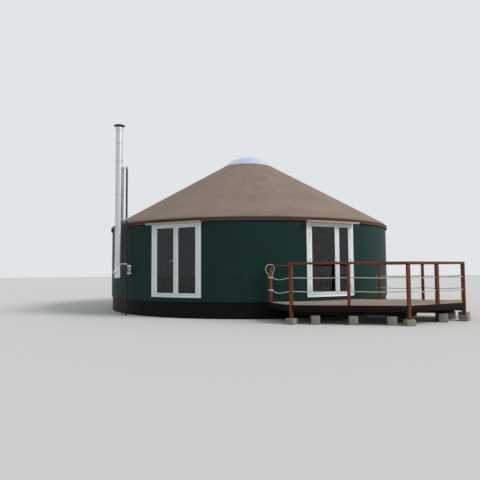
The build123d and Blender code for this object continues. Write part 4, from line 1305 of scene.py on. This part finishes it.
class YURT_OT_doors(bpy.types.Operator):
    """Finish both glazed doors: frames, sashes, beads, panes, handles, seals, drip bars and sills"""

    bl_idname = "yurt.doors"
    bl_label = "Glazed doors"

    def execute(self, context):
        edge = sizes().frame_round
        softened("door_frames", "white_frame", edge, grain=False)
        softened("door_strips", "black_trim", 0.002, 1, grain=False)
        softened("door_canopies", "canopy_timber", 0.003)
        for leaf in LEAVES:
            door = leaf.rsplit("_", 1)[0]
            softened(f"{leaf}_sash", "white_frame", edge, grain=False)
            glaze(leaf, door)
            low, high = door_box(f"{leaf}_sash", door)
            pane_low, pane_high = door_box(f"{leaf}_glass", door)
            body = body_of_node(f"{leaf}_sash")
            left, right = pane_low.x - 0.07, pane_high.x + 0.07
            drip = block(left, right, -0.013, -0.0002, low.z + 0.018, low.z + 0.034, 0.004, 3)
            piece_from(drip, f"{leaf}_drip_bar", body, "white_frame", place=DOORS[door])
            seal = bmesh.new()
            if leaf.endswith(("right", "side")):
                pour(block(low.x - 0.0068, low.x + 0.0006, 0.020, 0.034, low.z, high.z, 0.001, 1), seal)
            for z in (low.z - 0.0042, high.z - 0.0004):
                pour(block(low.x + 0.004, pane_high.x + 0.08, 0.022, 0.032, z, z + 0.0046, 0.001, 1), seal)
            piece_from(seal, f"{leaf}_seal", body, "black_trim", "gasket", place=DOORS[door])
        for leaf in ("left_door_left", "right_door_main"):
            lever_handle(leaf, leaf.rsplit("_", 1)[0])
        side = DOOR_HALF_WIDTH + 0.019
        spots = [(x, -0.0035, 0.75 + 0.43 * i) for x in (-side, side) for i in range(5)]
        spots += [(-0.80 + 0.40 * i, -0.1953, 2.673) for i in range(5)]
        screws, sills = bmesh.new(), bmesh.new()
        for place in DOORS.values():
            pour(sill_plate(), sills, place)
            for spot in spots:
                pour(screw(), screws, facing(place @ Vector(spot), place.to_3x3() @ Vector((0, -1, 0))))
        piece_from(screws, "trim_screws", ROOM, "silver_metal", "screw_metal")
        piece_from(sills, "sill_plates", ROOM, "white_frame")
        return {"FINISHED"}


# Flue

FLUE_RADIUS = 0.105
BAND_PLACES = (1.600, 2.630, 3.660, 4.690, 5.245, 5.650)

# A joint of two sections: height from the band's middle, and how far it stands out
BAND_LINE = (
    (-0.040, 0), (-0.036, 0.0022), (-0.030, 0.0022), (-0.026, 0), (-0.001, -0.0006), (0.001, -0.0006), (0.026, 0),
    (0.030, 0.0022), (0.036, 0.0022), (0.040, 0),
)
COLLAR_LINE = ((0.088, 0), (0.112, 0), (0.112, 0.003), (0.094, 0.006), (0.090, 0.020), (0.088, 0.020), (0.088, 0))
KNOB_LINE = ((0.0, 0), (0.014, 0), (0.016, 0.008), (0.011, 0.016), (0.0, 0.018))
COWL_RING = ((0.080, 0), (0.107, 0), (0.1075, 0.004), (0.105, 0.014), (0.080, 0.014), (0.080, 0))
COWL_HAT = (
    (0, 0.002), (0.150, 0.003), (0.166, -0.0005), (0.1705, 0.001), (0.172, 0.006), (0.1705, 0.012), (0.160, 0.016),
    (0.120, 0.027), (0.070, 0.0375), (0.040, 0.0395), (0, 0.040),
)

# The mast's poles, seen from the flue: towards the yurt, across, and their radius
MAST_POLES = ((0.160, -0.205, 0.028), (0.074, -0.135, 0.015))


class YURT_OT_flue(bpy.types.Operator):
    """Roll the flue's sections, bands, tee and cowl, and cap its mast"""

    bl_idname = "yurt.flue"
    bl_label = "Flue and mast"

    def execute(self, context):
        inward = -FLUE_PLACE.normalized()
        place = Matrix.Translation(FLUE_PLACE) @ Matrix.Rotation(atan2(inward.y, inward.x), 4, "Z")
        low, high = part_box("flue_pipe")
        inner, outer = FLUE_RADIUS - 0.025, FLUE_RADIUS - 0.001
        outline = [(inner, low.z), (outer, low.z), (FLUE_RADIUS, low.z + 0.001)]
        outline += [(FLUE_RADIUS + proud, band + rise) for band in BAND_PLACES[1:] for rise, proud in BAND_LINE]
        outline += [(FLUE_RADIUS, high.z - 0.001), (outer, high.z), (inner, high.z), (inner, low.z)]
        pipe = lathe(outline, 72)
        fold = block(-0.004, 0.0022, -0.004, 0.004, low.z + 0.05, high.z - 0.14, 0.001, 1)
        pour(fold, pipe, Matrix.Rotation(radians(200), 4, "Z") @ Matrix.Translation((FLUE_RADIUS, 0, 0)))
        piece_from(pipe, "flue_sections", ROOM, "silver_metal", crease=12, place=place, stands_for=["flue_pipe"])

        softened("flue_clamps", "silver_metal", 0.0012, 1, grain=False, sharper_than=50)
        softened("flue_tee", "silver_metal", 0.002, grain=False, sharper_than=50)
        softened("flue_wall_plate", "silver_metal", 0.0012, grain=False)
        bolts = bmesh.new()
        turn = Matrix.Rotation(radians(215), 4, "Z")
        near, far = FLUE_RADIUS + 0.004, FLUE_RADIUS + 0.022
        for band in BAND_PLACES:
            for side in (-0.011, 0.004):
                pour(block(near, far, side, side + 0.007, band - 0.014, band + 0.014, 0.0015, 1), bolts, turn)
            for shank, start in ((rod(0.0032, 0.050, 12), -0.025), (rod(0.0065, 0.006, 6, 0.0006), 0.011)):
                pour(shank, bolts, turn @ facing((FLUE_RADIUS + 0.014, start, band), (0, 1, 0)))
        plate_low, plate_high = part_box("flue_wall_plate")
        middle = (plate_low.z + plate_high.z) / 2
        face = FLUE_PLACE.length - WALL_RADIUS - 0.0048
        for across in (-0.118, 0, 0.118):
            for rise in (-0.118, 0, 0.118):
                if across or rise:
                    pour(screw(0.006), bolts, facing((face, across, middle + rise), (-1, 0, 0)))
        pour(lathe(COLLAR_LINE, 56), bolts, facing((face, 0, middle), (-1, 0, 0)))
        pour(lathe(KNOB_LINE, 20), bolts, facing((-0.135, 0, 1.295), (-1, 0, 0)))
        piece_from(bolts, "flue_bolts", ROOM, "silver_metal", place=place)

        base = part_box("flue_cowl")[0].z
        cap = base + 0.042
        cowl = lathe(moved(COWL_RING, up=base), 64)
        pour(lathe(moved(COWL_HAT, up=cap), 72), cowl)
        for i in range(4):
            strut = block(-0.0015, 0.0015, -0.009, 0.009, base + 0.004, cap + 0.006, 0.0008, 1)
            pour(strut, cowl, Matrix.Rotation(pi / 2 * i, 4, "Z") @ Matrix.Translation((0.0925, 0, 0)))
        piece_from(cowl, "flue_cap", ROOM, "black_metal", place=place, stands_for=["flue_cowl"])

        poles = bmesh.new()
        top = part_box("mast_poles")[1].z
        for along, across, radius in MAST_POLES:
            lip = radius + 0.0015
            line = [
                (0, 0.0), (radius, 0.0), (radius, top - 0.030), (lip, top - 0.030), (lip, top - 0.006),
                (radius * 0.92, top - 0.001), (0, top),
            ]
            pour(lathe(line, 40), poles, Matrix.Translation((along, across, 0)))
        piece_from(poles, "mast_tubes", ROOM, "black_metal", place=place, stands_for=["mast_poles"])
        return {"FINISHED"}


# Stage

BACKDROP = (226, 229, 232)
SKY_LIGHT, SKY_STRENGTH = (0.86, 0.93, 1.0), 0.58
SUN_LIGHT, SUN_STRENGTH, SUN_ANGLE = (1.0, 0.975, 0.94), 2.1, radians(24)
SUN_FROM = Vector((0.90, -0.36, 0.74))
EYE = (-0.5818, -18.0302, 1.35)
EYE_YAW, EYE_PITCH, EYE_ROLL = 0.0148, 0.0615, 0.0062


class YURT_OT_stage(bpy.types.Operator):
    """Set the floor, the light and the camera"""

    bl_idname = "yurt.stage"
    bl_label = "Floor, light and camera"

    def execute(self, context):
        scene = context.scene
        scene.view_settings.view_transform = "Standard"
        ground = bmesh.new()
        bmesh.ops.create_circle(ground, cap_ends=True, segments=96, radius=90)
        mesh = bpy.data.meshes.new("ground")
        ground.to_mesh(mesh)
        ground.free()
        paint = Finish("ground", Base_Color=tuple(colours().floor), Roughness=0.95, Specular_IOR_Level=0.2)
        mesh.materials.append(paint.material)
        linked("ground", mesh)

        lamp = bpy.data.lights.new("sun", "SUN")
        lamp.color, lamp.energy, lamp.angle = SUN_LIGHT, SUN_STRENGTH, SUN_ANGLE
        sun = linked("sun", lamp)
        sun.rotation_euler = SUN_FROM.to_track_quat("Z", "Y").to_euler()

        world = bpy.data.worlds.new("studio")
        scene.world = world
        world.use_nodes = True
        tree = world.node_tree
        tree.nodes.clear()
        kinds = ("OutputWorld", "MixShader", "LightPath", "Background", "Background")
        output, mix, path, seen, light = (tree.nodes.new(f"ShaderNode{kind}") for kind in kinds)
        seen.inputs[0].default_value = (*linear(*BACKDROP), 1)
        light.inputs[0].default_value = (*SKY_LIGHT, 1)
        light.inputs[1].default_value = SKY_STRENGTH
        share = path.outputs["Is Camera Ray"]
        for ray in ("Is Glossy Ray", "Is Transmission Ray"):
            either = tree.nodes.new("ShaderNodeMath")
            either.operation, either.use_clamp = "ADD", True
            tree.links.new(share, either.inputs[0])
            tree.links.new(path.outputs[ray], either.inputs[1])
            share = either.outputs[0]
        for i, source in enumerate((share, light.outputs[0], seen.outputs[0])):
            tree.links.new(source, mix.inputs[i])
        tree.links.new(mix.outputs[0], output.inputs[0])

        level = cos(EYE_PITCH)
        ahead = Vector((sin(EYE_YAW) * level, cos(EYE_YAW) * level, sin(EYE_PITCH)))
        right = ahead.cross(Vector((0, 0, 1))).normalized()
        up = right.cross(ahead)
        across = right * cos(EYE_ROLL) - up * sin(EYE_ROLL)
        rise = up * cos(EYE_ROLL) + right * sin(EYE_ROLL)
        lens = bpy.data.cameras.new("camera")
        lens.lens, lens.sensor_width, lens.clip_end = 36, 36, 400
        camera = linked("camera", lens)
        camera.matrix_world = Matrix.Translation(EYE) @ Matrix((across, rise, -ahead)).transposed().to_4x4()
        scene.camera = camera
        return {"FINISHED"}


OPERATORS = (
    YURT_OT_stage, YURT_OT_ropes, YURT_OT_wall_cover, YURT_OT_roof_cover, YURT_OT_crown, YURT_OT_doors,
    YURT_OT_flue, YURT_OT_deck_rail, YURT_OT_floors, YURT_OT_timber_frame,
)


class YURT_PT_sidebar(bpy.types.Panel):
    """Sizes, colours and pieces of the yurt"""

    bl_idname = "YURT_PT_sidebar"
    bl_label = "Garden Yurt"
    bl_space_type = "VIEW_3D"
    bl_region_type = "UI"
    bl_category = "Yurt"

    def draw(self, context):
        column = self.layout.column()
        for group in (context.scene.yurt_sizes, context.scene.yurt_colours):
            for name in group.__annotations__:
                column.prop(group, name)
        for operator in OPERATORS:
            column.operator(operator.bl_idname)


CLASSES = (YURT_PG_sizes, YURT_PG_colours, *OPERATORS, YURT_PT_sidebar)


def register():
    for cls in CLASSES:
        bpy.utils.register_class(cls)
    bpy.types.Scene.yurt_sizes = PointerProperty(type=YURT_PG_sizes)
    bpy.types.Scene.yurt_colours = PointerProperty(type=YURT_PG_colours)


def unregister():
    del bpy.types.Scene.yurt_colours
    del bpy.types.Scene.yurt_sizes
    for cls in reversed(CLASSES):
        bpy.utils.unregister_class(cls)


def main():
    register()
    for operator in OPERATORS:
        group, name = operator.bl_idname.split(".")
        getattr(getattr(bpy.ops, group), name)()


if __name__ == "__main__":
    main()
